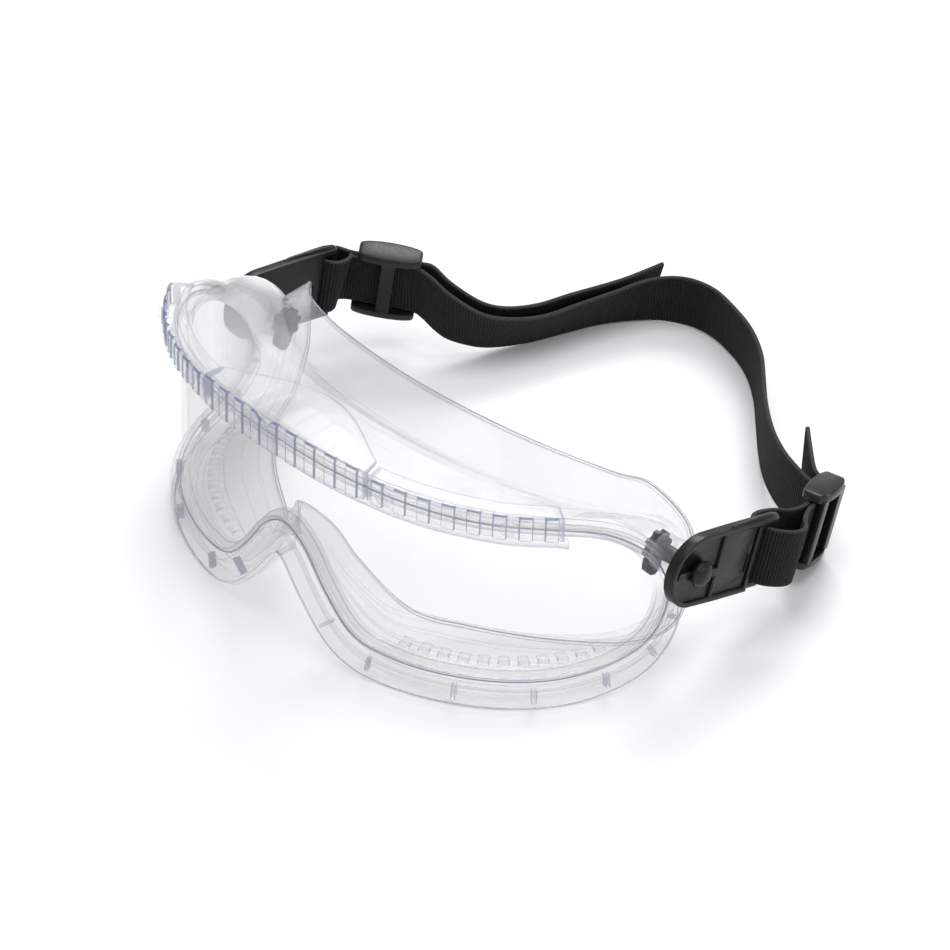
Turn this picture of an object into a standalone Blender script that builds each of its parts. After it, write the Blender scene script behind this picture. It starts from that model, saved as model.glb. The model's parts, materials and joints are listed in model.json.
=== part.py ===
"""Safety goggles: a clear soft frame, a wrapped lens, top and lower vents, swivelling strap clips,
sliders and an elastic strap. Lengths are in millimetres until the meshes are made.
X runs to the right, the front faces -Y, and the object stands on Z = 0."""

import math

import bmesh
import bpy
import numpy as np
from mathutils import Matrix, Vector

MM = 0.001
# Middle of the whole piece in plan, which becomes the world's origin
MIDDLE = Vector((0, 102.4, 0))

# Lens: a sheet wrapped round an upright D-shaped plan (superellipse quarter on each side)
HALF_WIDTH = 89.5
WRAP_DEPTH = 74.0
WRAP_POWER = 2.4
LENS_THICK = 1.8
LENS_GAP = 0.4
PLAN_STEPS = 240

# Frame wall and lens groove
WALL = 2.0
FLANGE_EDGE = 1.2
GROOVE_WALL = 0.5
GROOVE_FRONT = 0.4
GROOVE_BACK = 2.3
LIP_COVER = 1.2
SHELF_COVER = 2.0
SAMPLES_PER_STATION = 3
WALL_STEPS = (0.25, 0.5, 0.75)

# Stations go round the right half, from the top centre over the side and the lobe to the nose.
# rim: lens edge as (distance round the lens from the centre, height); band: height and depth of the
# moulded band round the lens; then three points in space: wall bulge, valley and flange edge.
STATIONS = (
    {"rim": (0, 68.3), "band": (5.0, 1.5, 0.8), "wall": ((0, 28, 68), (0, 44, 53), (0, 52, 66))},
    {"rim": (33, 67.8), "band": (5.0, 1.5, 0.8), "wall": ((33, 33, 66), (33, 47, 52.5), (31, 55, 65))},
    {"rim": (62, 66.3), "band": (5.0, 1.5, 0.8), "wall": ((63, 44, 62), (57, 56, 51), (52, 62, 62))},
    {"rim": (88, 63.8), "band": (4.5, 1.5, 0.8), "wall": ((84, 60, 59), (74, 68, 49), (66, 71, 57.5))},
    {"rim": (106, 57.5), "band": (4.0, 1.5, 0.8), "wall": ((91, 74, 54), (81, 76, 45), (73.5, 79.5, 53))},
    {"rim": (122.5, 42), "band": (4.0, 1.2, 0.8), "wall": ((91.5, 79, 42), (85, 82.5, 34), (82.5, 87.5, 38))},
    {"rim": (129, 25), "band": (6.0, 2.2, 1.6), "wall": ((90.5, 80, 24), (84, 82, 22), (84, 88, 20))},
    {"rim": (121, 12.5), "band": (8.5, 3.2, 3.0), "wall": ((88, 74, 8), (82, 76, 10), (84, 82, 5))},
    {"rim": (97, 9), "band": (9.0, 3.5, 3.5), "wall": ((84, 55, 3), (76, 62, 6), (78, 68, 1))},
    {"rim": (66, 9), "band": (9.0, 3.5, 3.5), "wall": ((66, 34, 3), (60, 44, 6), (60, 51, 0.8))},
    {"rim": (40, 9.5), "band": (9.5, 3.5, 3.5), "wall": ((43, 20, 3.5), (40, 30, 7), (40, 37, 2))},
    {"rim": (27, 12.5), "band": (10.0, 3.5, 3.5), "wall": ((28, 14, 7), (26, 19, 10), (27, 26, 7))},
    {"rim": (17, 23), "band": (10.0, 3.5, 3.5), "wall": ((17, 9, 19), (14, 13, 20), (13, 18, 23))},
    {"rim": (8.5, 35), "band": (10.5, 3.5, 3.5), "wall": ((9, 6, 30), (8, 9, 31), (7, 13, 35.5))},
    {"rim": (0, 39.7), "band": (11.0, 3.5, 3.5), "wall": ((0, 5, 34), (0, 7, 36.5), (0, 10, 40.5))},
)


# ---------------------------------------------------------------- plan of the lens
def plan_table():
    """Points along the right half of the wrap, with the distance round it from the centre."""
    turn = np.linspace(0.0, math.pi / 2, PLAN_STEPS)
    x = HALF_WIDTH * np.sin(turn) ** (2 / WRAP_POWER)
    y = WRAP_DEPTH * (1 - np.cos(turn) ** (2 / WRAP_POWER))
    distance = np.concatenate([[0.0], np.cumsum(np.hypot(np.diff(x), np.diff(y)))])
    return distance, x, y


PLAN = plan_table()


def plan_point(u):
    """Place and forward direction of the lens's outer face at a signed distance round it."""
    side = -1.0 if u < 0 else 1.0
    distance, x, y = PLAN
    reach = min(abs(u), distance[-1])
    step = 1.5
    here = Vector((np.interp(reach, distance, x), np.interp(reach, distance, y), 0.0))
    low, high = max(reach - step, 0.0), min(reach + step, distance[-1])
    along = Vector((np.interp(high, distance, x) - np.interp(low, distance, x),
                    np.interp(high, distance, y) - np.interp(low, distance, y), 0.0))
    if reach < step:
        along = Vector((1.0, along.y * reach / step / max(along.x, 1e-6), 0.0))
    along.normalize()
    forward = Vector((along.y, -along.x, 0.0))
    if abs(u) < 1e-9:
        forward = Vector((0.0, -1.0, 0.0))
    return Vector((side * here.x, here.y, 0.0)), Vector((side * forward.x, forward.y, 0.0))


def on_lens(u, z, forward=0.0):
    place, direction = plan_point(u)
    return place + direction * forward + Vector((0, 0, z))


# ---------------------------------------------------------------- smooth curves
def catmull(points, count, closed):
    """Samples of a smooth curve through the points, count to each span."""
    rows = np.array(points, dtype=float)
    last = len(rows)
    out = []
    spans = last if closed else last - 1
    for span in range(spans):
        index = [span - 1, span, span + 1, span + 2]
        if closed:
            index = [i % last for i in index]
        else:
            index = [min(max(i, 0), last - 1) for i in index]
        p0, p1, p2, p3 = rows[index]
        for k in range(count):
            t = k / count
            out.append(0.5 * (2 * p1 + (p2 - p0) * t + (2 * p0 - 5 * p1 + 4 * p2 - p3) * t ** 2
                              + (3 * p1 - p0 - 3 * p2 + p3) * t ** 3))
    if not closed:
        out.append(rows[-1])
    return np.array(out)


def round_loop(values, flips):
    """A closed loop from the right half's station values; flips marks which numbers change sign."""
    right = [np.array(v, dtype=float) for v in values]
    left = [v * flips for v in right[-2:0:-1]]
    return catmull(right + left, SAMPLES_PER_STATION, True)


# ---------------------------------------------------------------- meshes and objects
def material(name, colour, roughness, metallic=0.0, alpha=1.0, transmission=0.0):
    made = bpy.data.materials.new(name)
    made.use_nodes = True
    shader = made.node_tree.nodes["Principled BSDF"]
    shader.inputs["Base Color"].default_value = (*colour, 1.0)
    shader.inputs["Roughness"].default_value = roughness
    shader.inputs["Metallic"].default_value = metallic
    shader.inputs["Alpha"].default_value = alpha
    shader.inputs["Transmission Weight"].default_value = transmission
    return made


def finish_object(name, shape, surface, smooth_angle=35.0, origin=MIDDLE):
    """Makes the object in metres about the whole piece's middle, with its own origin at the given place."""
    bmesh.ops.recalc_face_normals(shape, faces=shape.faces[:])
    if shape.calc_volume(signed=True) < 0:
        bmesh.ops.reverse_faces(shape, faces=shape.faces[:])
    mesh = bpy.data.meshes.new(name)
    shape.to_mesh(mesh)
    shape.free()
    mesh.transform(Matrix.Scale(MM, 4) @ Matrix.Translation(-origin))
    mesh.shade_smooth()
    mesh.set_sharp_from_angle(angle=math.radians(smooth_angle))
    mesh.materials.append(surface)
    made = bpy.data.objects.new(name, mesh)
    made.location = (origin - MIDDLE) * MM
    bpy.context.scene.collection.objects.link(made)
    return made


def add_ring(shape, sections):
    """Joins closed sections into a ring-shaped solid."""
    rows = [[shape.verts.new(point) for point in section] for section in sections]
    skin_rows(shape, rows + [rows[0]])


def add_sweep(shape, sections):
    """Joins closed sections into a solid with two end caps."""
    rows = [[shape.verts.new(point) for point in section] for section in sections]
    skin_rows(shape, rows)
    shape.faces.new(rows[0])
    shape.faces.new(rows[-1])


def skin_rows(shape, rows):
    for row, after in zip(rows, rows[1:]):
        count = len(row)
        for i in range(count):
            j = (i + 1) % count
            shape.faces.new((row[i], row[j], after[j], after[i]))


def sweep_object(name, sections, surface, frame=None, smooth_angle=35.0, origin=MIDDLE):
    """A solid from closed sections, which may be given in a part's own frame."""
    shape = bmesh.new()
    if frame is not None:
        sections = [[frame @ Vector(point) for point in section] for section in sections]
    add_sweep(shape, sections)
    return finish_object(name, shape, surface, smooth_angle, origin)


def boolean(target, cutter, operation):
    """Applies a cutter or an added solid to the target for good."""
    bpy.context.view_layer.update()
    step = target.modifiers.new(cutter.name, "BOOLEAN")
    step.operation = operation
    step.solver = "EXACT"
    step.object = cutter
    graph = bpy.context.evaluated_depsgraph_get()
    done = bpy.data.meshes.new_from_object(target.evaluated_get(graph))
    target.modifiers.remove(step)
    old = target.data
    target.data = done
    bpy.data.meshes.remove(old)
    bpy.data.objects.remove(cutter, do_unlink=True)


# ---------------------------------------------------------------- frame
def rim_loop():
    """Lens edge round the opening as (distance round the lens, height)."""
    return round_loop([s["rim"] for s in STATIONS], np.array([-1.0, 1.0]))


def rim_outward(rim):
    """Outward direction of the lens edge in the flat sheet, one for each sample."""
    ahead = np.roll(rim, -1, axis=0) - np.roll(rim, 1, axis=0)
    normal = np.stack([-ahead[:, 1], ahead[:, 0]], axis=1)
    return normal / np.linalg.norm(normal, axis=1)[:, None]


def bezier(p, c, q, t):
    return p * (1 - t) ** 2 + c * 2 * t * (1 - t) + q * t ** 2


class FrameShape:
    """The frame's section at each sample of the loop, worked out once for every part that fits it."""

    def __init__(self):
        self.rim = rim_loop()
        self.out = rim_outward(self.rim)
        band = round_loop([s["band"] for s in STATIONS], np.array([1.0, 1.0, 1.0]))
        self.height, self.front, self.step = band[:, 0], band[:, 1], band[:, 2]
        mirror = np.array([-1.0, 1.0, 1.0])
        self.bulge, self.valley, self.edge = (
            round_loop([s["wall"][i] for s in STATIONS], mirror) for i in range(3))
        self.count = len(self.rim)
        start = np.array([self.at(i, -4.5, self.height[i] - self.step[i]) for i in range(self.count)])
        rows = [start]
        for t in WALL_STEPS:
            rows.append(bezier(start, self.bulge, self.valley, t))
        self.outer = np.stack(rows + [self.valley, self.edge], axis=1)
        self.outer[:, :, 2] = np.maximum(self.outer[:, :, 2], 0.0)
        self.inner = self.inset()

    def at(self, i, forward, outward):
        """A point beside the lens edge: forward of the lens's outer face, and outward of its edge."""
        u, z = self.rim[i] + self.out[i] * outward
        return np.array(on_lens(u, z, forward))

    def inset(self):
        """Inner side of the wall, a wall's thickness in from the outer side."""
        along = np.roll(self.outer, -1, axis=0) - np.roll(self.outer, 1, axis=0)
        across = np.gradient(self.outer, axis=1)
        normal = np.cross(along, across)
        normal /= np.linalg.norm(normal, axis=2)[:, :, None]
        thick = np.full(self.outer.shape[1], WALL)
        thick[-1] = FLANGE_EDGE
        return self.outer - normal * thick[None, :, None] * self.facing(normal)

    def facing(self, normal):
        centre = np.array([0.0, 40.0, 35.0])
        away = self.outer[:, 0] - centre
        return np.sign(np.sum(np.sum(away * normal[:, 0], axis=1)))

    def section(self, i):
        h, f, _ = (self.height[i], self.front[i], self.step[i])
        lip = min(f, 1.6)
        hollow = 0.25 * f
        points = [self.at(i, lip, -LIP_COVER), self.at(i, f, 1.4), self.at(i, f - hollow, h * 0.5),
                  self.at(i, f, h - 1.2), self.at(i, f - 1.0, h), self.at(i, -2.5, h)]
        points += [*self.outer[i], *self.inner[i][::-1]]
        points += [self.at(i, -4.0, -SHELF_COVER), self.at(i, -GROOVE_BACK, -SHELF_COVER),
                   self.at(i, -GROOVE_BACK, GROOVE_WALL), self.at(i, GROOVE_FRONT, GROOVE_WALL),
                   self.at(i, GROOVE_FRONT, -LIP_COVER)]
        return [Vector((p[0], p[1], max(p[2], 0.0))) for p in points]


def make_frame(shape, surface):
    ring = bmesh.new()
    add_ring(ring, [shape.section(i) for i in range(shape.count)])
    return finish_object("frame_body", ring, surface)


# ---------------------------------------------------------------- lens
LENS_SLICE = 7.0


def make_lens(shape, surface):
    flat = bmesh.new()
    edge = shape.rim - shape.out * LENS_GAP
    outline = [flat.verts.new((u, z, 0.0)) for u, z in edge]
    flat.faces.new(outline)
    bmesh.ops.triangulate(flat, faces=flat.faces[:])
    reach = max(u for u, _ in edge)
    cuts = int(reach / LENS_SLICE)
    for k in range(-cuts, cuts + 1):
        everything = flat.verts[:] + flat.edges[:] + flat.faces[:]
        bmesh.ops.bisect_plane(flat, geom=everything, plane_co=(k * LENS_SLICE, 0, 0), plane_no=(1, 0, 0))
    front = flat.verts[:]
    made = bmesh.ops.extrude_face_region(flat, geom=flat.faces[:], use_keep_orig=True)
    back = [v for v in made["geom"] if isinstance(v, bmesh.types.BMVert)]
    for vertex in front:
        vertex.co = on_lens(vertex.co.x, vertex.co.y, 0.0)
    for vertex in back:
        vertex.co = on_lens(vertex.co.x, vertex.co.y, -LENS_THICK)
    return finish_object("lens", flat, surface, 50.0)


# ---------------------------------------------------------------- top vents
VENT_FRONT = 1.8
VENT_THICK = 2.4
TOOTH_PITCH = 7.0
TOOTH_DEPTH = 0.9
CENTRE_HALF = 33.0


def top_height(u):
    """Height of the lens's top edge at a distance round the lens."""
    samples = np.array([s["rim"] for s in STATIONS[:6]])
    return float(np.interp(abs(u), samples[:, 0], samples[:, 1]))


def vent_section(u, depth, low, high, back, slope):
    """A hook-shaped section: front plate, and a leg over the frame's top edge."""
    z = top_height(u)
    face = VENT_FRONT + depth
    points = ((VENT_FRONT, low), (face, low), (face, high - 1.0), (face - 1.0, high),
              (-back, high - slope), (-back, high - slope - 1.4), (VENT_FRONT, high - 1.8))
    return [on_lens(u, z + rise, forward) for forward, rise in points]


def vent_steps(start, end):
    """Distances along a castellated bar, doubled at each tooth's side."""
    teeth = max(1, round((end - start) / TOOTH_PITCH))
    pitch = (end - start) / teeth
    steps = []
    for k in range(teeth):
        base = start + k * pitch
        steps += [(base, 0), (base + 0.24 * pitch, 0), (base + 0.26 * pitch, 1),
                  (base + 0.74 * pitch, 1), (base + 0.76 * pitch, 0)]
    return steps + [(end, 0)]


def make_vent_wing(name, start, end, surface):
    sections = []
    for u, tooth in vent_steps(start, end):
        sections.append(vent_section(u, VENT_THICK + tooth * TOOTH_DEPTH, -1.0, 7.4, 2.6, 0.2))
    return sweep_object(name, sections, surface)


def make_centre_cover(surface):
    sections = []
    for u, tooth in vent_steps(-CENTRE_HALF, CENTRE_HALF):
        rise = math.sqrt(max(0.0, 1 - (u / (CENTRE_HALF + 0.5)) ** 2))
        depth = VENT_THICK + tooth * TOOTH_DEPTH + rise * 0.8
        sections.append(vent_section(u, depth, -1.2, 8.6 + rise * 1.6, 2.6 + 18.0 * rise, 0.2 + 1.3 * rise))
    return sweep_object("centre_vent_cover", sections, surface)


def make_vent_pin(name, u, surface):
    """Domed head of a pin in the front of the vent bar."""
    place, forward = plan_point(u)
    up = Vector((0, 0, 1))
    frame = Matrix((up.cross(forward), up, forward)).transposed().to_4x4()
    frame.translation = on_lens(u, top_height(u) + 3.3)
    near = VENT_FRONT + VENT_THICK + TOOTH_DEPTH + 0.3
    head = turned(((near, 2.7), (near + 0.8, 2.5), (near + 1.4, 1.5)), 12)
    return sweep_object(name, head, surface, frame, 60.0)


# ---------------------------------------------------------------- lower vents
STRIP_FROM = 37.0
STRIP_TO = 113.0
STRIP_TEETH = 11


def make_vent_strip(name, side, surface):
    """A low toothed strip on the frame's floor, some way behind the lens."""
    sections = []
    pitch = (STRIP_TO - STRIP_FROM) / STRIP_TEETH
    for k in range(STRIP_TEETH):
        base = STRIP_FROM + k * pitch
        for share, tooth in ((0.0, 0), (0.3, 0), (0.34, 1), (0.8, 1), (0.84, 0)):
            sections.append((base + share * pitch, tooth))
    sections.append((STRIP_TO, 0))
    rows = []
    for u, tooth in sections:
        top = 8.4 + tooth * 0.8
        rows.append([on_lens(side * u, z, forward)
                     for forward, z in ((-8.0, 7.4), (-8.0, top), (-11.5, top), (-11.5, 7.4))])
    return sweep_object(name, rows, surface)


# ---------------------------------------------------------------- strap pivots
PIVOT = Vector((90.5, 75.2, 35.5))
BOSS_RADIUS = 6.0
BOSS_DEPTH = 9.0
SHANK_RADIUS = 2.6
SHANK_HOLE = 3.0


def turned(profile, sides=16):
    """Sections of a turned part along its own z axis, from (distance, radius) pairs."""
    angles = [2 * math.pi * k / sides for k in range(sides)]
    return [[(r * math.cos(a), r * math.sin(a), z) for a in angles] for z, r in profile]


def pivot_place(side):
    return Vector((side * PIVOT.x, PIVOT.y, PIVOT.z))


def pivot_frame(side, tilt=0.0):
    """Frame of a strap pivot: x runs back along the clip, y up and z out along the stud.
    The left one is a mirror image, and tilt lowers the clip's rear end."""
    out = Vector((side, 0, 0))
    back = Vector((0, 1, 0))
    up = Vector((0, 0, 1))
    low_back = back * math.cos(tilt) - up * math.sin(tilt)
    high_up = back * math.sin(tilt) + up * math.cos(tilt)
    frame = Matrix((low_back, high_up, out)).transposed().to_4x4()
    frame.translation = pivot_place(side)
    return frame


def add_boss(body, side, surface):
    """Adds the side lug to the frame and bores it for the stud's shank."""
    frame = pivot_frame(side)
    lug = turned(((-BOSS_DEPTH, BOSS_RADIUS), (0.4, BOSS_RADIUS), (1.0, BOSS_RADIUS - 0.7)))
    boolean(body, sweep_object("lug", lug, surface, frame), "UNION")
    bore = turned(((-BOSS_DEPTH - 3, SHANK_HOLE), (4.0, SHANK_HOLE)))
    boolean(body, sweep_object("bore", bore, surface, frame), "DIFFERENCE")


def make_stud(name, side, surface):
    """Ball-headed stud: its shank passes through the lug and the clip turns on its neck."""
    profile = ((-11.8, SHANK_RADIUS), (1.3, SHANK_RADIUS), (1.3, 4.6), (2.2, 4.6), (2.2, 2.7), (5.6, 2.7),
               (5.9, 3.4), (6.9, 4.1), (8.2, 3.9), (9.2, 2.8), (9.7, 1.2))
    return sweep_object(name, turned(profile), surface, pivot_frame(side), 60.0, pivot_place(side))


def star_sections(outer, inner, teeth, low, high):
    rows = []
    for z in (low, high):
        row = []
        for k in range(4 * teeth):
            angle = 2 * math.pi * (k + 0.5) / (4 * teeth)
            radius = outer if k % 4 < 2 else inner
            row.append((radius * math.cos(angle), radius * math.sin(angle), z))
        rows.append(row)
    return rows


def make_retainer(name, side, surface):
    """Toothed ring on the inner end of the shank."""
    made = sweep_object(name, star_sections(5.5, 4.5, 8, -11.6, -9.4), surface, pivot_frame(side))
    bore = turned(((-14.0, SHANK_RADIUS + 0.3), (-7.0, SHANK_RADIUS + 0.3)))
    boolean(made, sweep_object("bore", bore, surface, pivot_frame(side)), "DIFFERENCE")
    return made


# ---------------------------------------------------------------- strap clips
CLIP_TILT = {1: math.radians(16.5), -1: math.radians(10.0)}
CLIP_FACE = 2.8
CLIP_THICK = 2.4
CLIP_NOSE = 11.8
CLIP_REAR = 27.0
CLIP_HALF = 12.2
BAR_PLACE = 32.6
BAR_HALF = 1.3
NECK_HOLE = 3.0
RIM_RISE = 1.2


def clip_outline(rear, shrink=0.0):
    """Side outline of the plate: a round nose about the pivot and a straight part back to the rear."""
    nose = CLIP_NOSE - shrink
    half = CLIP_HALF - shrink
    points = [(rear, half), (12.0, half - 0.1)]
    points += [(nose * math.cos(a), nose * math.sin(a))
               for a in (math.radians(90 + 180 * k / 16) for k in range(17))]
    return points + [(12.0, -half + 0.1), (rear, -half)]


def plate(outline, low, high):
    return [[(a, b, c) for a, b in outline] for c in (low, high)]


def box_sections(a_range, b_range, c_range):
    (a0, a1), (b0, b1) = a_range, b_range
    return [[(a0, b0, c), (a1, b0, c), (a1, b1, c), (a0, b1, c)] for c in c_range]


def make_clip(name, side, surface):
    """Swivel clip: a plate with a raised rim, a bail with a bar for the strap, and a pivot hole."""
    frame = pivot_frame(side, CLIP_TILT[side])
    top = CLIP_FACE + CLIP_THICK
    end = BAR_PLACE + BAR_HALF
    made = sweep_object(name, plate(clip_outline(end), CLIP_FACE, top + RIM_RISE), surface, frame,
                        origin=pivot_place(side))
    hollow = plate(clip_outline(CLIP_REAR - 1.6, 1.6), top, top + 4)
    boolean(made, sweep_object("hollow", hollow, surface, frame), "DIFFERENCE")
    step = box_sections((CLIP_REAR, end + 3), (-CLIP_HALF - 3, CLIP_HALF + 3), (top - 0.1, top + 5))
    boolean(made, sweep_object("step", step, surface, frame), "DIFFERENCE")
    window = box_sections((CLIP_REAR + 0.6, BAR_PLACE - BAR_HALF), (2.0 - CLIP_HALF, CLIP_HALF - 2.0),
                          (CLIP_FACE - 2, top + 6))
    boolean(made, sweep_object("window", window, surface, frame), "DIFFERENCE")
    hole = turned(((CLIP_FACE - 2, NECK_HOLE), (top + 4, NECK_HOLE)))
    boolean(made, sweep_object("hole", hole, surface, frame), "DIFFERENCE")
    slot = box_sections((23.6, 24.8), (-5.5, 1.0), (CLIP_FACE - 1, top + 4))
    boolean(made, sweep_object("slot", slot, surface, frame), "DIFFERENCE")
    return made


# ---------------------------------------------------------------- the slider's place
# Its middle in the clip's frame (back, out), how far the webbing turns inward there and how far its
# top edge leans inward
SLIDER_SPOT = {1: (67.0, -2.5, math.radians(18.0), 0.0),
               -1: (50.5, -5.5, math.radians(50.0), math.radians(15.0))}


def beside_slider(side, s, off):
    """A point s along the webbing from the slider's middle and off outward, in the clip's frame,
    with the directions along the webbing, up it and out of it."""
    back, out, turn, lean = SLIDER_SPOT[side]
    along = Vector((math.cos(turn), 0.0, -math.sin(turn)))
    across = Vector((math.sin(turn), 0.0, math.cos(turn)))
    up = Vector((0, math.cos(lean), 0)) - across * math.sin(lean)
    outward = across * math.cos(lean) + Vector((0, math.sin(lean), 0))
    return Vector((back, 0.0, out)) + along * s + outward * off, along, up, outward


# ---------------------------------------------------------------- sliders
SLIDER_HALF_WIDTH = 10.5
SLIDER_HALF_HEIGHT = 12.9
CAP_INNER = 10.3
BAR_NEAR = 2.15
BAR_FAR = 4.3


def slider_frame(side):
    """Frame of the slider in the world: x along the strap, y up, z out."""
    place, along, up, outward = beside_slider(side, 0.0, 0.0)
    local = Matrix((along, up, outward)).transposed().to_4x4()
    local.translation = place
    return pivot_frame(side, CLIP_TILT[side]) @ local


def cap_outline():
    """Plan of a cap: a flat lens shape round the two layers of webbing."""
    count = 10
    turns = [math.pi * k / count for k in range(count + 1)]
    outer = [(SLIDER_HALF_WIDTH * math.cos(t), 2.4 + 2.6 * math.sin(t)) for t in turns]
    inner = [(-SLIDER_HALF_WIDTH * math.cos(t), -2.4 - 2.2 * math.sin(t)) for t in turns]
    return outer + inner


def make_slider(name, side, surface):
    """Three-bar slider: a cap above and below the webbing, two bars outside it and one inside."""
    frame = slider_frame(side)
    made = None
    for low, high in ((CAP_INNER, SLIDER_HALF_HEIGHT), (-SLIDER_HALF_HEIGHT, -CAP_INNER)):
        cap = [[(a, b, c) for a, c in cap_outline()] for b in (low, high)]
        solid = sweep_object(name, cap, surface, frame, origin=frame.translation)
        if made is None:
            made = solid
        else:
            boolean(made, solid, "UNION")
    for a0, a1, c0, c1 in ((-9.4, -5.2, BAR_NEAR, BAR_FAR), (5.2, 9.4, BAR_NEAR, BAR_FAR),
                           (-2.2, 2.2, -BAR_FAR, -BAR_NEAR)):
        bar = box_sections((a0, a1), (-CAP_INNER - 0.5, CAP_INNER + 0.5), (c0, c1))
        boolean(made, sweep_object("bar", bar, surface, frame), "UNION")
    return made


# ---------------------------------------------------------------- webbing
# Length between sections of each piece
BAND_STEP = {"strap_tail_left": 3.2, "strap_tail_right": 3.2, "head_strap": 2.8, "strap_end_left": 1.6,
             "strap_end_right": 1.6}
# One band runs from the left tail's tip through the left slider and clip, round the back to the right
# clip and slider and on to the right tail's tip. It is cut where it leaves each slider.
STRAP_HALF = 9.5
STRAP_THICK = 1.5
LAYER_GAP = 0.5
CUT_WIDTH = 1.6
CUT_PLANE = {1: 81.4, -1: -72.6}
# How far the two layers run straight on the clip's side of the slider's middle
CLIP_REACH = {1: 13.0, -1: 12.0}
# Route round the clip's bar, from the inner layer to the outer one: back, out and lean in degrees
BAR_LOOP = {
    1: ((47, 0.8, 0), (42, -1.4, 0), (37, -2.3, 0), (33, -1.9, 0), (30.6, -0.6, 0), (29.3, 1.6, 0),
        (29.1, 4.4, 0), (29.8, 7.2, 0), (32, 9.6, 0), (35.5, 11.4, 0), (39.5, 11.8, 0), (43, 10.4, 0),
        (46, 7.6, 0), (49.6, 5.2, 0)),
    -1: ((40.0, 4.2, 12), (37.6, 2.3, 9), (34.4, 0.7, 6), (31.2, 0.6, 3), (29.3, 2.4, 1), (29.1, 4.8, 0),
         (29.8, 7.4, 0), (32, 9.6, -2), (35.2, 10.7, -5), (38.6, 10.4, -8), (41.4, 8.8, -12)),
}
# Routes of middle lines: x, y, height and lean of the top edge towards the goggles, in degrees.
# The strap runs from the left slider to the right one; each tail runs away from its slider.
STRAP_ROUTE = ((-77.6, 129.4, 25.5, 7), (-74.6, 130.6, 24.5, 8), (-69.6, 132.2, 21.5, 9),
               (-65.3, 134.9, 17.8, 13), (-58.2, 141.3, 13.3, 24), (-53.8, 149.2, 10.8, 29),
               (-49.8, 160.1, 9.2, 31), (-46.6, 172.9, 8.9, 28), (-42.4, 186.5, 9.1, 24),
               (-35.8, 200.0, 9.7, 11), (-27.4, 207.6, 9.8, 2), (-16.4, 209.8, 9.8, 1),
               (-2.9, 206.2, 9.8, 2), (8.7, 200.6, 9.8, 0), (19.4, 192.5, 9.8, -2), (28.5, 183.3, 9.9, -2),
               (39.4, 171.9, 10.6, -2), (51.8, 160.3, 12.3, -4), (63.0, 152.4, 13.7, -5),
               (72.2, 148.0, 14.4, -6), (77.0, 146.3, 14.5, -6), (81.2, 145.2, 14.7, -6),
               (84.2, 144.5, 15.1, -5))
TAIL_ROUTE = {
    -1: ((-76.2, 132.6, 25.4, 6), (-72.6, 134.6, 23.9, 6), (-67.4, 137.2, 19.2, 8), (-60.8, 143.6, 14.0, 15),
         (-57.1, 150.8, 11.4, 20), (-53.2, 161.1, 10.1, 22), (-50.0, 173.8, 9.8, 21), (-45.6, 187.4, 9.7, 19),
         (-43.2, 196.0, 9.8, 18), (-41.0, 209.5, 9.9, 17)),
    1: ((84.0, 149.9, 13.6, -4), (80.9, 151.0, 13.2, -3), (74.3, 155.0, 11.9, -1), (64.1, 165.2, 10.4, 0),
        (56.8, 172.6, 9.8, 0)),
}


def banded(route, up, lean_sign=1.0):
    """Middle line and edge vector of a band on edge at each point of a route with leans."""
    places = [Vector(point[:3]) for point in route]
    rows = []
    for i, place in enumerate(places):
        along = (places[min(i + 1, len(places) - 1)] - places[max(i - 1, 0)]).normalized()
        right = along.cross(up).normalized()
        tip = math.radians(route[i][3]) * lean_sign
        edge = (up * math.cos(tip) + right * math.sin(tip)) * (STRAP_HALF / right.cross(along).dot(up))
        rows.append((place, edge))
    return rows


def clip_layers(side):
    """The band's points from the inner layer in the slider, round the bar to the outer layer."""
    middle = (STRAP_THICK + LAYER_GAP) / 2
    lean = math.degrees(SLIDER_SPOT[side][3])
    inner = [(*beside_slider(side, s, -middle)[0], lean) for s in (3.0, -4.5, -CLIP_REACH[side])]
    outer = [(*beside_slider(side, s, middle)[0], -lean) for s in (-CLIP_REACH[side], -4.5, 3.0, 8.0)]
    loop = [(back, 0.0, out, tip) for back, out, tip in BAR_LOOP[side]]
    frame = pivot_frame(side, CLIP_TILT[side])
    rows = banded(inner + loop + outer, Vector((0, 1, 0)))
    return [(frame @ place, frame.to_3x3() @ edge) for place, edge in rows]


def webbing_samples():
    """Close samples of the whole band: middle line and edge vector as six numbers each."""
    up = Vector((0, 0, 1))
    left = banded(TAIL_ROUTE[-1], up)[::-1] + clip_layers(-1)[::-1]
    right = clip_layers(1) + banded(TAIL_ROUTE[1], up, -1.0)
    rows = left + banded(STRAP_ROUTE, up) + right
    return catmull([(*place, *edge) for place, edge in rows], 8, False)


def cut_webbing():
    """Pieces of the band between its cuts, by name."""
    samples = webbing_samples()
    steps = np.linalg.norm(np.diff(samples[:, :3], axis=0), axis=1)
    reach = np.concatenate([[0.0], np.cumsum(steps)])
    cuts = []
    for i in range(len(samples) - 1):
        plane = CUT_PLANE[1] if samples[i][0] > 0 else CUT_PLANE[-1]
        if (samples[i][0] - plane) * (samples[i + 1][0] - plane) < 0:
            cuts.append(reach[i])
    ends = [0.0] + [cut + off for cut in cuts for off in (-CUT_WIDTH / 2, CUT_WIDTH / 2)] + [reach[-1]]
    names = ("strap_tail_left", "strap_end_left", "head_strap", "strap_end_right", "strap_tail_right")
    pieces = {}
    for name, start, end in zip(names, ends[0::2], ends[1::2]):
        count = max(6, round((end - start) / BAND_STEP[name]))
        at = np.linspace(start, end, count)
        pieces[name] = np.array([np.interp(at, reach, samples[:, k]) for k in range(6)]).T
    return pieces


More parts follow.
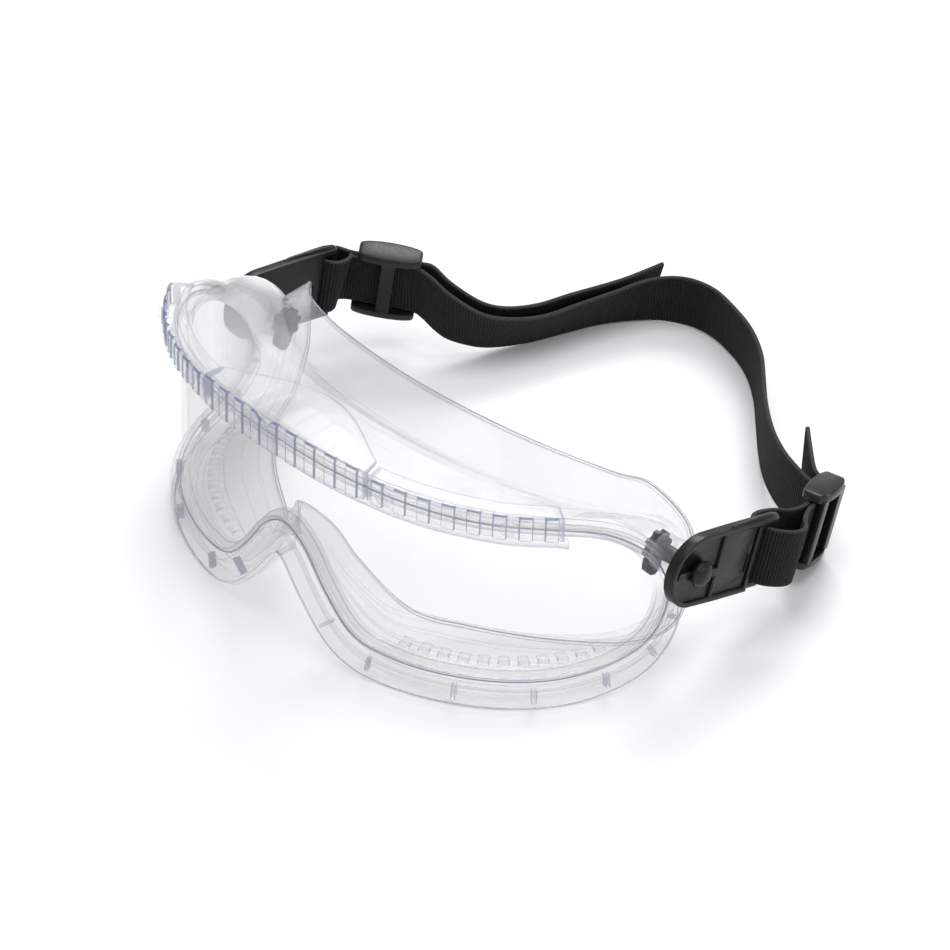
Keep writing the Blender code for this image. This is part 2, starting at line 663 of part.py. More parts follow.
def make_band(name, rows, surface, origin):
    """A flat band on edge from its middle line and edge vectors."""
    sections = []
    for i, row in enumerate(rows):
        along = Vector(rows[min(i + 1, len(rows) - 1)][:3] - rows[max(i - 1, 0)][:3])
        place, edge = Vector(row[:3]), Vector(row[3:])
        across = along.cross(edge).normalized() * (STRAP_THICK / 2)
        sections.append([place - across - edge, place + across - edge, place + across + edge,
                         place - across + edge])
    return sweep_object(name, sections, surface, None, 50.0, origin)


# ---------------------------------------------------------------- the whole object
def make_all():
    for old in list(bpy.data.objects):
        bpy.data.objects.remove(old, do_unlink=True)
    clear_soft = material("clear_soft_plastic", (0.86, 0.88, 0.92), 0.12, alpha=0.5, transmission=0.9)
    clear_hard = material("clear_lens", (0.93, 0.95, 0.97), 0.03, alpha=0.35, transmission=1.0)
    dark = material("dark_moulded_plastic", (0.035, 0.035, 0.035), 0.45)
    teal = material("dark_teal_plastic", (0.01, 0.05, 0.055), 0.35)
    webbing = material("black_webbing", (0.015, 0.015, 0.014), 0.85)

    shape = FrameShape()
    body = make_frame(shape, clear_soft)
    make_lens(shape, clear_hard)
    make_centre_cover(clear_soft)
    for label, side in (("left", -1), ("right", 1)):
        ends = sorted((side * 34.0, side * 90.0))
        make_vent_wing("vent_wing_" + label, *ends, clear_soft)
        make_vent_strip("lower_vent_" + label, side, clear_soft)
        add_boss(body, side, clear_soft)
        make_stud("pivot_stud_" + label, side, dark)
        make_retainer("stud_retainer_" + label, side, teal)
        make_clip("strap_clip_" + label, side, dark)
        make_slider("slider_" + label, side, dark)
        for place, along_bar in (("inner", 40.0), ("outer", 75.0)):
            make_vent_pin("vent_pin_%s_%s" % (label, place), side * along_bar, clear_hard)
    for name, rows in cut_webbing().items():
        origin = MIDDLE
        if name.startswith("strap_end"):
            origin = pivot_place(-1 if name.endswith("left") else 1)
        make_band(name, rows, webbing, origin)


make_all()
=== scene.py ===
"""Clear safety goggles: the visible model, its materials, light and camera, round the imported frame.
Lengths are in millimetres, in the frame's axes before its middle is moved to the world's origin."""

import json
import math

import bmesh
import bpy
import numpy as np
from mathutils import Matrix, Vector

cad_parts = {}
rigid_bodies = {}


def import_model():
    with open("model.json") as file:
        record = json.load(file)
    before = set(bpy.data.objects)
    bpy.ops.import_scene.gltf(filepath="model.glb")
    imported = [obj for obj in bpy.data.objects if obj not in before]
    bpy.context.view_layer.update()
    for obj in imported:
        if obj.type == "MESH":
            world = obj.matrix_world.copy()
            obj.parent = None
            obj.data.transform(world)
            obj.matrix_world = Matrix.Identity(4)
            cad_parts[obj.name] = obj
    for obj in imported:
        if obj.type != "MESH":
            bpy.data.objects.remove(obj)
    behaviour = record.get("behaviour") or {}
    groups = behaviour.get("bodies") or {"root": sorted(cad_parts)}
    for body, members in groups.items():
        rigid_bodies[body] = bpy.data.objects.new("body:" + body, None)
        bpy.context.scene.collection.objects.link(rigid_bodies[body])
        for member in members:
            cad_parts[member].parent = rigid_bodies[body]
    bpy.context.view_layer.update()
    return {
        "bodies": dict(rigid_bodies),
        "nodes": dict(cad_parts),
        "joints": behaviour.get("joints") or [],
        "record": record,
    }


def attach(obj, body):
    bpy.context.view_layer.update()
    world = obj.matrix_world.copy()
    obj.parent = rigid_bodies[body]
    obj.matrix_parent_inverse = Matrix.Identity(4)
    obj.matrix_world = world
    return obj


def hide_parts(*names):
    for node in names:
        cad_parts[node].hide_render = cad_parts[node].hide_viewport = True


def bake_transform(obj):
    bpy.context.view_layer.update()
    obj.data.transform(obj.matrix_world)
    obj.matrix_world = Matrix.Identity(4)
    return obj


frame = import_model()

MM = 0.001
MIDDLE = Vector((0, 102.4, 0))
UP = Vector((0, 0, 1))


# ---------------------------------------------------------------- camera, light and floor
def make_camera():
    """Camera at the photograph's viewing angle, 1.2 m away; its numbers come from a separate fit."""
    place = Vector((0.6656, -0.7269, 0.7306))
    aim = Vector((0.0208, -0.0439, 0.0383))
    roll = math.radians(2.16)
    ahead = (aim - place).normalized()
    right = ahead.cross(UP).normalized()
    upright = right.cross(ahead)
    across = right * math.cos(roll) + upright * math.sin(roll)
    up = upright * math.cos(roll) - right * math.sin(roll)
    lens = bpy.data.cameras.new("camera")
    lens.sensor_width = 36.0
    lens.lens = 146.9
    lens.clip_end = 20.0
    camera = bpy.data.objects.new("camera", lens)
    camera.matrix_world = Matrix.Translation(place) @ Matrix((across, up, -ahead)).transposed().to_4x4()
    bpy.context.scene.collection.objects.link(camera)
    bpy.context.scene.camera = camera


def area_light(name, place, target, width, power, colour=(1.0, 1.0, 1.0)):
    """A square soft box that shines at a target."""
    data = bpy.data.lights.new(name, "AREA")
    data.shape = "SQUARE"
    data.size = width
    data.energy = power
    data.color = colour
    lamp = bpy.data.objects.new(name, data)
    ahead = Vector(target) - Vector(place)
    lamp.matrix_world = Matrix.Translation(place) @ ahead.to_track_quat("-Z", "Y").to_matrix().to_4x4()
    bpy.context.scene.collection.objects.link(lamp)


def make_light():
    scene = bpy.context.scene
    scene.view_settings.view_transform = "Standard"
    # Enough see-through layers for light to reach the floor under the clear parts
    scene.cycles.transparent_max_bounces = 32
    world = bpy.data.worlds.new("studio")
    world.use_nodes = True
    world.node_tree.nodes["Background"].inputs["Color"].default_value = (0.97, 0.98, 1.0, 1.0)
    world.node_tree.nodes["Background"].inputs["Strength"].default_value = 0.42
    scene.world = world
    area_light("top_box", (0.1, -0.1, 1.6), (0, 0, 0), 1.3, 14.0)
    area_light("back_box", (-0.7, 1.1, 1.3), (0, 0, 0.03), 0.8, 17.0)
    area_light("side_box", (1.5, 0.2, 0.7), (0, 0, 0.04), 0.6, 4.0)


def make_floor():
    sheet = bmesh.new()
    bmesh.ops.create_grid(sheet, x_segments=8, y_segments=8, size=3.0)
    mesh = bpy.data.meshes.new("floor")
    sheet.to_mesh(mesh)
    sheet.free()
    mesh.materials.append(floor_material())
    floor = bpy.data.objects.new("floor", mesh)
    floor.location.z = -0.0002
    bpy.context.scene.collection.objects.link(floor)


# ---------------------------------------------------------------- materials
class Nodes:
    """Short calls for building one material's nodes."""

    def __init__(self, name):
        self.made = bpy.data.materials.new(name)
        self.made.use_nodes = True
        self.tree = self.made.node_tree
        self.shader = self.tree.nodes["Principled BSDF"]

    def node(self, kind, **values):
        made = self.tree.nodes.new(kind)
        for key, value in values.items():
            if hasattr(made, key):
                setattr(made, key, value)
            else:
                made.inputs[key].default_value = value
        return made

    def link(self, out, into):
        self.tree.links.new(out, into)

    def put(self, **values):
        for key, value in values.items():
            self.shader.inputs[key.replace("_", " ")].default_value = value

    def math(self, operation, a, b):
        made = self.node("ShaderNodeMath", operation=operation)
        for socket, value in zip(made.inputs, (a, b)):
            if isinstance(value, (int, float)):
                socket.default_value = value
            else:
                self.link(value, socket)
        return made.outputs[0]

    def mix(self, factor, a, b):
        """Colour between a and b."""
        made = self.node("ShaderNodeMix", data_type="RGBA")
        for socket, value in zip((made.inputs[0], made.inputs[6], made.inputs[7]), (factor, a, b)):
            if isinstance(value, tuple):
                socket.default_value = (*value, 1.0)
            elif isinstance(value, (int, float)):
                socket.default_value = value
            else:
                self.link(value, socket)
        return made.outputs[2]

    def noise(self, scale, detail=3.0, roughness=0.5, source=None):
        made = self.node("ShaderNodeTexNoise", Scale=scale, Detail=detail, Roughness=roughness)
        self.link(source or self.places(), made.inputs["Vector"])
        return made.outputs["Fac"]

    def places(self):
        """Positions on the piece, in metres."""
        return self.node("ShaderNodeTexCoord").outputs["Object"]

    def ramp(self, factor, low, high, out_low=0.0, out_high=1.0):
        made = self.node("ShaderNodeMapRange")
        self.link(factor, made.inputs["Value"])
        for key, value in (("From Min", low), ("From Max", high), ("To Min", out_low), ("To Max", out_high)):
            made.inputs[key].default_value = value
        return made.outputs["Result"]

    def bump(self, height, strength, distance):
        made = self.node("ShaderNodeBump", Strength=strength, Distance=distance)
        self.link(height, made.inputs["Height"])
        self.link(made.outputs["Normal"], self.shader.inputs["Normal"])


def floor_material():
    made = Nodes("white_paper")
    made.put(Roughness=0.9, Base_Color=(0.93, 0.935, 0.94, 1.0))
    made.put(Specular_IOR_Level=0.0)
    return made.made


def clear_material(name, thin, thick, tint, line, ripple):
    """Clear plastic: see-through face on, milkier where it is seen at a slant, with painted dark bluish lines
    along its edges and painted darkening at a slant, in place of refraction and reflection.
    """
    made = Nodes(name)
    made.put(Roughness=0.06, IOR=1.5)
    slant = made.node("ShaderNodeLayerWeight", Blend=0.35).outputs["Facing"]
    steep = made.math("POWER", slant, 3.0)
    # Painted reflection: vertices marked as edges get dark bluish, nearly opaque lines, standing in for the
    # lines that refraction and reflection draw in clear plastic.
    raw = made.node("ShaderNodeAttribute", attribute_name="edge").outputs["Fac"]
    edge = made.math("POWER", raw, 0.85)
    haze = made.node("ShaderNodeAttribute", attribute_name="haze").outputs["Fac"]
    cloud = made.ramp(made.noise(38.0, 3.0), 0.35, 0.7, 0.82, 1.12)
    # Painted light: the plastic is made more see-through near the floor, which lightens the shade that
    # stacked layers and their shadows give the lower parts.
    split = made.node("ShaderNodeSeparateXYZ")
    made.link(made.places(), split.inputs[0])
    low = made.ramp(split.outputs["Z"], 0.008, 0.034, 0.5, 1.0)
    body = made.math("MULTIPLY", made.ramp(steep, 0.0, 1.0, thin, thick), made.math("MULTIPLY", cloud, low))
    alpha = made.math("MAXIMUM", body, made.math("MULTIPLY", edge, 0.96))
    alpha = made.math("MULTIPLY", alpha, made.ramp(haze, -1.0, 0.0, 0.0, 1.0))
    alpha = made.math("MAXIMUM", alpha, haze)
    made.link(alpha, made.shader.inputs["Alpha"])
    # Painted shade: the colour turns towards the line colour along marked edges, and partly where the surface
    # is seen at a slant.
    dark = made.math("MAXIMUM", made.math("MULTIPLY", steep, 0.45), edge)
    base = made.mix(dark, tint, line)
    milk = made.ramp(haze, 0.0, 1.0)
    made.link(made.mix(milk, base, (0.80, 0.81, 0.82)), made.shader.inputs["Base Color"])
    made.bump(made.noise(ripple, 2.0), 0.25, 0.0006)
    return made.made


def moulded_material(name, colour, highlight_colour, roughness, grain):
    """Moulded plastic with a fine grain, uneven sheen and a painted highlight that lightens its sharp edges.
    """
    made = Nodes(name)
    made.put(Specular_IOR_Level=0.26)
    fine = made.noise(grain, 4.0, 0.6)
    broad = made.noise(90.0, 3.0)
    # Painted highlight: sharp convex edges, found by pointiness, are lightened towards a paler colour,
    # unevenly along them.
    convexity = made.node("ShaderNodeNewGeometry").outputs["Pointiness"]
    rim_highlight = made.math("MULTIPLY", made.ramp(convexity, 0.52, 0.62), made.ramp(broad, 0.3, 0.7, 0.4, 1.0))
    base = made.mix(made.ramp(broad, 0.3, 0.7, 0.0, 0.5), colour, tuple(c * 1.35 for c in colour))
    made.link(made.mix(rim_highlight, base, highlight_colour), made.shader.inputs["Base Color"])
    made.link(made.ramp(fine, 0.3, 0.7, roughness - 0.07, roughness + 0.09), made.shader.inputs["Roughness"])
    made.bump(fine, 0.35, 0.00012)
    return made.made


def webbing_material():
    """Ribbed elastic: fine ribs across the band, threads along it and a paler selvedge."""
    made = Nodes("black_webbing")
    made.put(Roughness=0.85, Sheen_Weight=0.03, Sheen_Roughness=0.5, Specular_IOR_Level=0.12)
    split = made.node("ShaderNodeSeparateXYZ")
    made.link(made.node("ShaderNodeUVMap", uv_map="band").outputs["UV"], split.inputs[0])
    along, across = split.outputs["X"], split.outputs["Y"]
    ribs = made.math("SINE", made.math("MULTIPLY", along, 2 * math.pi / 1.0), 0.0)
    threads = made.math("SINE", made.math("MULTIPLY", across, 2 * math.pi / 1.1), 0.0)
    height = made.math("ADD", made.ramp(ribs, -1.0, 1.0, 0.0, 0.8), made.ramp(threads, -1.0, 1.0, 0.0, 0.2))
    fuzz = made.noise(2600.0, 2.0)
    # Painted shade: the grooves between ribs and threads are darker and the crests paler, following the same
    # height as the bump.
    base = made.mix(made.ramp(height, 0.0, 1.0), (0.004, 0.004, 0.004), (0.021, 0.021, 0.020))
    base = made.mix(made.ramp(fuzz, 0.45, 0.8, 0.0, 0.5), base, (0.032, 0.032, 0.031))
    edge = made.node("ShaderNodeAttribute", attribute_name="edge").outputs["Fac"]
    made.link(made.mix(edge, base, (0.06, 0.06, 0.058)), made.shader.inputs["Base Color"])
    made.bump(made.math("ADD", height, made.math("MULTIPLY", fuzz, 0.4)), 0.9, 0.0003)
    return made.made


LOOKS = {
    # The fourth colour of each clear look is the colour of its painted dark edge lines.
    "soft": clear_material("clear_soft_plastic", 0.19, 0.80, (0.68, 0.685, 0.685), (0.12, 0.15, 0.26), 55.0),
    "vent": clear_material("clear_vent_plastic", 0.10, 0.70, (0.80, 0.82, 0.85), (0.10, 0.15, 0.29), 140.0),
    "lens": clear_material("clear_lens", 0.08, 0.45, (0.62, 0.62, 0.61), (0.30, 0.34, 0.42), 9.0),
    "rim": clear_material("clear_lens_rim", 0.25, 0.50, (0.60, 0.64, 0.72), (0.24, 0.29, 0.42), 60.0),
    # The second colour of each moulded look is the paler colour of its painted edge highlight.
    "dark": moulded_material("dark_moulded_plastic", (0.007, 0.007, 0.0065), (0.07, 0.07, 0.07), 0.33,
                             1500.0),
    # The panel's paler base colour is painted sheen: a lighter copy of the dark plastic in place of the light
    # its face reflects.
    "panel": moulded_material("dark_panel_painted_sheen", (0.018, 0.018, 0.017), (0.07, 0.07, 0.07), 0.33, 700.0),
    "teal": moulded_material("dark_teal_plastic", (0.001, 0.020, 0.023), (0.006, 0.05, 0.055), 0.22, 500.0),
    "webbing": webbing_material(),
}


# ---------------------------------------------------------------- curves and meshes
def catmull(points, count, closed):
    """Samples of a smooth curve through the points, count to each span."""
    rows = np.array(points, dtype=float)
    last = len(rows)
    out = []
    for span in range(last if closed else last - 1):
        index = [span - 1, span, span + 1, span + 2]
        if closed:
            index = [i % last for i in index]
        else:
            index = [min(max(i, 0), last - 1) for i in index]
        p0, p1, p2, p3 = rows[index]
        for k in range(count):
            t = k / count
            out.append(0.5 * (2 * p1 + (p2 - p0) * t + (2 * p0 - 5 * p1 + 4 * p2 - p3) * t ** 2
                              + (3 * p1 - p0 - 3 * p2 + p3) * t ** 3))
    if not closed:
        out.append(rows[-1])
    return np.array(out)


def bezier(p, c, q, t):
    return p * (1 - t) ** 2 + c * 2 * t * (1 - t) + q * t ** 2


def finish_piece(name, shape, look, body, nodes=(), smooth_angle=40.0):
    """Turns a bmesh in millimetres into a visible piece that rides on a body and stands for CAD nodes."""
    bmesh.ops.recalc_face_normals(shape, faces=shape.faces[:])
    if shape.calc_volume(signed=True) < 0:
        bmesh.ops.reverse_faces(shape, faces=shape.faces[:])
    mesh = bpy.data.meshes.new(name)
    shape.to_mesh(mesh)
    shape.free()
    mesh.transform(Matrix.Scale(MM, 4) @ Matrix.Translation(-MIDDLE))
    mesh.shade_smooth()
    mesh.set_sharp_from_angle(angle=math.radians(smooth_angle))
    mesh.materials.append(LOOKS[look])
    piece = bpy.data.objects.new(name, mesh)
    bpy.context.scene.collection.objects.link(piece)
    if body is not None:
        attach(piece, body)
    if nodes:
        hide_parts(*nodes)
    return piece


def skin(shape, sections, closed, edges=None):
    """Quads between successive closed sections, with end caps unless the row of sections is closed."""
    # Each vertex's edge value sets the painted dark edge line on clear parts, and the paler selvedge on the
    # webbing.
    mark = shape.verts.layers.float.get("edge") or shape.verts.layers.float.new("edge")
    rows = []
    for i, section in enumerate(sections):
        row = [shape.verts.new(point) for point in section]
        if edges is not None:
            for vertex, value in zip(row, edges[i]):
                vertex[mark] = value
        rows.append(row)
    pairs = list(zip(rows, rows[1:] + rows[:1])) if closed else list(zip(rows, rows[1:]))
    for row, after in pairs:
        count = len(row)
        for i in range(count):
            j = (i + 1) % count
            shape.faces.new((row[i], row[j], after[j], after[i]))
    if not closed:
        shape.faces.new(rows[0])
        shape.faces.new(rows[-1])


def solid(sections, frame_matrix=None, edges=None):
    """A bmesh solid from closed sections, which may be in a part's own frame."""
    shape = bmesh.new()
    if frame_matrix is not None:
        sections = [[frame_matrix @ Vector(point) for point in section] for section in sections]
    skin(shape, sections, False, edges)
    return shape


def bevelled(piece, width, segments=2):
    """Rounds a piece's sharp edges and keeps the result as its mesh."""
    step = piece.modifiers.new("round", "BEVEL")
    step.width = width * MM
    step.segments = segments
    step.limit_method = "ANGLE"
    step.angle_limit = math.radians(35.0)
    step.harden_normals = False
    graph = bpy.context.evaluated_depsgraph_get()
    done = bpy.data.meshes.new_from_object(piece.evaluated_get(graph))
    piece.modifiers.remove(step)
    piece.data = done
    done.shade_smooth()
    done.set_sharp_from_angle(angle=math.radians(50.0))
    return piece


def boolean(target, cutter, operation):
    """Applies a cutter or an added solid to the target for good."""
    bpy.context.view_layer.update()
    step = target.modifiers.new("boolean", "BOOLEAN")
    step.operation = operation
    step.solver = "EXACT"
    step.object = cutter
    graph = bpy.context.evaluated_depsgraph_get()
    target.data = bpy.data.meshes.new_from_object(target.evaluated_get(graph))
    target.modifiers.remove(step)
    bpy.data.objects.remove(cutter, do_unlink=True)


# ---------------------------------------------------------------- plan of the lens
HALF_WIDTH = 89.5
WRAP_DEPTH = 74.0
WRAP_POWER = 2.4
LENS_THICK = 1.8
LENS_GAP = 0.4
PLAN_STEPS = 480
# Stations go round the right half, from the top centre over the side and the lobe to the nose.
# rim: lens edge as (distance round the lens from the centre, height); band: height and depth of the
# moulded band round the lens; then three points in space: wall bulge, valley and flange edge.
STATIONS = (
    {"rim": (0, 68.3), "band": (5.0, 1.5, 0.8), "wall": ((0, 28, 68), (0, 44, 53), (0, 52, 66))},
    {"rim": (33, 67.8), "band": (5.0, 1.5, 0.8), "wall": ((33, 33, 66), (33, 47, 52.5), (31, 55, 65))},
    {"rim": (62, 66.3), "band": (5.0, 1.5, 0.8), "wall": ((63, 44, 62), (57, 56, 51), (52, 62, 62))},
    {"rim": (88, 63.8), "band": (4.5, 1.5, 0.8), "wall": ((84, 60, 59), (74, 68, 49), (66, 71, 57.5))},
    {"rim": (106, 57.5), "band": (4.0, 1.5, 0.8), "wall": ((91, 74, 54), (81, 76, 45), (73.5, 79.5, 53))},
    {"rim": (122.5, 42), "band": (4.0, 1.2, 0.8), "wall": ((91.5, 79, 42), (85, 82.5, 34), (82.5, 87.5, 38))},
    {"rim": (129, 25), "band": (6.0, 2.2, 1.6), "wall": ((90.5, 80, 24), (84, 82, 22), (84, 88, 20))},
    {"rim": (121, 12.5), "band": (8.5, 3.2, 3.0), "wall": ((88, 74, 8), (82, 76, 10), (84, 82, 5))},
    {"rim": (97, 9), "band": (9.0, 3.5, 3.5), "wall": ((84, 55, 3), (76, 62, 6), (78, 68, 1))},
    {"rim": (66, 9), "band": (9.0, 3.5, 3.5), "wall": ((66, 34, 3), (60, 44, 6), (60, 51, 0.8))},
    {"rim": (40, 9.5), "band": (9.5, 3.5, 3.5), "wall": ((43, 20, 3.5), (40, 30, 7), (40, 37, 2))},
    {"rim": (27, 12.5), "band": (10.0, 3.5, 3.5), "wall": ((28, 14, 7), (26, 19, 10), (27, 26, 7))},
    {"rim": (17, 23), "band": (10.0, 3.5, 3.5), "wall": ((17, 9, 19), (14, 13, 20), (13, 18, 23))},
    {"rim": (8.5, 35), "band": (10.5, 3.5, 3.5), "wall": ((9, 6, 30), (8, 9, 31), (7, 13, 35.5))},
    {"rim": (0, 39.7), "band": (11.0, 3.5, 3.5), "wall": ((0, 5, 34), (0, 7, 36.5), (0, 10, 40.5))},
)


def plan_table():
    """Points along the right half of the wrap, with the distance round it from the centre."""
    turn = np.linspace(0.0, math.pi / 2, PLAN_STEPS)
    x = HALF_WIDTH * np.sin(turn) ** (2 / WRAP_POWER)
    y = WRAP_DEPTH * (1 - np.cos(turn) ** (2 / WRAP_POWER))
    distance = np.concatenate([[0.0], np.cumsum(np.hypot(np.diff(x), np.diff(y)))])
    return distance, x, y


PLAN = plan_table()


def plan_point(u):
    """Place and forward direction of the lens's outer face at a signed distance round it."""
    side = -1.0 if u < 0 else 1.0
    distance, x, y = PLAN
    reach = min(abs(u), distance[-1])
    step = 1.5
    here = Vector((np.interp(reach, distance, x), np.interp(reach, distance, y), 0.0))
    low, high = max(reach - step, 0.0), min(reach + step, distance[-1])
    along = Vector((np.interp(high, distance, x) - np.interp(low, distance, x),
                    np.interp(high, distance, y) - np.interp(low, distance, y), 0.0))
    if reach < step:
        along = Vector((1.0, along.y * reach / step / max(along.x, 1e-6), 0.0))
    along.normalize()
    forward = Vector((along.y, -along.x, 0.0))
    if abs(u) < 1e-9:
        forward = Vector((0.0, -1.0, 0.0))
    return Vector((side * here.x, here.y, 0.0)), Vector((side * forward.x, forward.y, 0.0))


def on_lens(u, z, forward=0.0):
    place, direction = plan_point(u)
    return place + direction * forward + Vector((0, 0, z))


def round_loop(values, flips, count):
    """A closed loop from the right half's station values; flips marks which numbers change sign."""
    right = [np.array(v, dtype=float) for v in values]
    left = [v * flips for v in right[-2:0:-1]]
    return catmull(right + left, count, True)


# ---------------------------------------------------------------- frame skin
SAMPLES = 12
WALL_STEPS = (0.06, 0.14, 0.24, 0.36, 0.5, 0.64, 0.78, 0.9)
WALL = 1.9
FLANGE_EDGE = 1.1
LIP_COVER = 1.2
SHELF_COVER = 2.0
GROOVE_BACK = 2.3
GROOVE_FRONT = 0.4
GROOVE_WALL = 0.5


class FrameSkin:
    """The frame's section at close samples of the loop round the lens."""

    def __init__(self):
        self.rim = round_loop([s["rim"] for s in STATIONS], np.array([-1.0, 1.0]), SAMPLES)
        ahead = np.roll(self.rim, -1, axis=0) - np.roll(self.rim, 1, axis=0)
        normal = np.stack([-ahead[:, 1], ahead[:, 0]], axis=1)
        self.out = normal / np.linalg.norm(normal, axis=1)[:, None]
        band = round_loop([s["band"] for s in STATIONS], np.array([1.0, 1.0, 1.0]), SAMPLES)
        self.height, self.front, self.step = band[:, 0], band[:, 1], band[:, 2]
        mirror = np.array([-1.0, 1.0, 1.0])
        bulge, valley, edge = (
            round_loop([s["wall"][i] for s in STATIONS], mirror, SAMPLES) for i in range(3))
        self.count = len(self.rim)
        start = np.array([self.at(i, -4.5, self.height[i] - self.step[i]) for i in range(self.count)])
        rows = [start]
        for t in WALL_STEPS:
            rows.append(bezier(start, bulge, valley, t))
        rows.append(valley)
        for t in (0.3, 0.65, 0.93):
            rows.append(valley + (edge - valley) * t)
        rows.append(edge)
        self.outer = np.stack(rows, axis=1)
        self.outer[:, :, 2] = np.maximum(self.outer[:, :, 2], 0.0)
        self.inner = self.inset()

    def at(self, i, forward, outward):
        """A point beside the lens edge: forward of the lens's outer face, and outward of its edge."""
        u, z = self.rim[i] + self.out[i] * outward
        return np.array(on_lens(u, z, forward))

    def inset(self):
        """Inner side of the wall, with a thicker bead near the flange's edge."""
        along = np.roll(self.outer, -1, axis=0) - np.roll(self.outer, 1, axis=0)
        across = np.gradient(self.outer, axis=1)
        normal = np.cross(along, across)
        normal /= np.linalg.norm(normal, axis=2)[:, :, None]
        away = self.outer[:, 0] - np.array([0.0, 40.0, 35.0])
        facing = np.sign(np.sum(np.sum(away * normal[:, 0], axis=1)))
        thick = np.full(self.outer.shape[1], WALL)
        thick[-3:] = (WALL * 0.8, WALL, FLANGE_EDGE)
        return self.outer - normal * thick[None, :, None] * facing

    def section(self, i):
        """Section points with how strongly each shows a painted dark edge line, in place of the lines of
        refraction and reflection.
        """
        h, f = self.height[i], self.front[i]
        lip = min(f, 1.6)
        hollow = 0.25 * f
        deep = f > 2.5
        dip = 0.9 * f if deep else hollow
        marked = [(self.at(i, lip - 0.3, -LIP_COVER), 0.9), (self.at(i, lip, -LIP_COVER + 0.4), 0.5),
                  (self.at(i, f - 0.1, 1.0), 0.1), (self.at(i, f, 1.5), 0.7),
                  (self.at(i, f - 0.3, 2.0), 0.1), (self.at(i, f - dip, h * 0.36), 0.3),
                  (self.at(i, f - dip, h * 0.62), 0.2), (self.at(i, f - 0.3, h - 1.9), 0.1),
                  (self.at(i, f, h - 1.3), 0.7), (self.at(i, f - 0.3, h - 0.5), 0.1),
                  (self.at(i, f - 1.1, h), 0.7), (self.at(i, -2.5, h), 0.2)]
        last = self.outer.shape[1] - 1
        strength = {0: 0.35, 2: 0.22, 5: 0.28, 7: 0.2, last: 1.0, last - 1: 0.45, last - 4: 0.25}
        marked += [(p, strength.get(k, 0.0)) for k, p in enumerate(self.outer[i])]
        marked += [(p, strength.get(last - k, 0.0)) for k, p in enumerate(self.inner[i][::-1])]
        marked += [(self.at(i, -4.0, -SHELF_COVER), 0.2), (self.at(i, -GROOVE_BACK, -SHELF_COVER), 0.6),
                   (self.at(i, -GROOVE_BACK, GROOVE_WALL), 0.2), (self.at(i, GROOVE_FRONT, GROOVE_WALL), 0.2),
                   (self.at(i, GROOVE_FRONT, -LIP_COVER), 0.5)]
        fixed = self.splits(marked)
        return [Vector((p[0], p[1], max(p[2], 0.0))) for p, _ in fixed], [e for _, e in fixed]

    @staticmethod
    def splits(marked):
        """Every segment gets its two flanking points, so that all sections have the same count."""
        out = []
        count = len(marked)
        for i, (point, strength) in enumerate(marked):
            after, following = marked[(i + 1) % count]
            gap = np.array(after) - np.array(point)
            share = min(0.4, 0.55 / max(float(np.linalg.norm(gap)), 1e-6))
            out += [(point, strength), (np.array(point) + gap * share, min(strength, 0.04)),
                    (np.array(point) + gap * (1 - share), min(following, 0.04))]
        return out


# Haze near the left pivot stands in for the blur of what lies behind thick clear plastic; near the
# right one it is negative, which clears the view. Middle, reach, strength, start and fall
FRAME_HAZE = (((-89.0, 68.0, 46.0), (11.0, 27.0, 19.0), 0.9, 2.2, 1.6),
              ((85.0, 72.0, 36.0), (9.0, 14.0, 13.0), -1.0, 1.8, 1.4))


def make_frame(shape):
    """The soft frame, with its two patches of haze."""
    ring = bmesh.new()
    rows = [shape.section(i) for i in range(shape.count)]
    skin(ring, [row[0] for row in rows], True, [row[1] for row in rows])
    haze = ring.verts.layers.float.new("haze")
    for vertex in ring.verts:
        for middle, size, strength, start, fall in FRAME_HAZE:
            away = vertex.co - Vector(middle)
            reach = math.sqrt(sum((part / wide) ** 2 for part, wide in zip(away, size)))
            vertex[haze] += strength * max(0.0, min(1.0, start - fall * reach))
    return finish_piece("frame_skin", ring, "soft", "goggles", ("frame_body",), 60.0)


# Places of the stiffening ribs in the channel round the lower edge, as places along the station list
RIB_STATIONS = (6.45, 7.0, 7.7, 8.4, 9.2, 10.3, 11.4)


def make_channel_ribs(shape):
    """Thin webs across the channel below the lens, in both halves."""
    ribs = bmesh.new()
    for place in RIB_STATIONS:
        for side in (1, -1):
            i = round(side * place * SAMPLES) % shape.count
            h, f = shape.height[i], shape.front[i]
            rows = []
            for k in (-1, 0, 1):
                j = (i + k) % shape.count
                low = f * 0.15
                rows.append([Vector(shape.at(j, a, b)) for a, b in
                             ((low, 2.2), (f * 0.82, 2.2), (f * 0.82, h - 2.2), (low, h - 2.2))])
            thin = [[p * 0.3 + q * 0.7 for p, q in zip(rows[0], rows[1])], rows[1],
                    [p * 0.3 + q * 0.7 for p, q in zip(rows[2], rows[1])]]
            thin = [[Vector((p.x, p.y, max(p.z, 0.2))) for p in row] for row in thin]
            # The ribs' outer faces carry painted dark edge lines.
            skin(ribs, thin, False, [[0.5] * 4, [0.0] * 4, [0.5] * 4])
    return finish_piece("channel_ribs", ribs, "vent", "goggles", (), 50.0)


# ---------------------------------------------------------------- lens
LENS_SLICE = 3.0


# Haze at the lens's left end, which stands in for the same blur
LENS_HAZE, LENS_HAZE_END, LENS_HAZE_REACH = 0.7, -124.0, 18.0


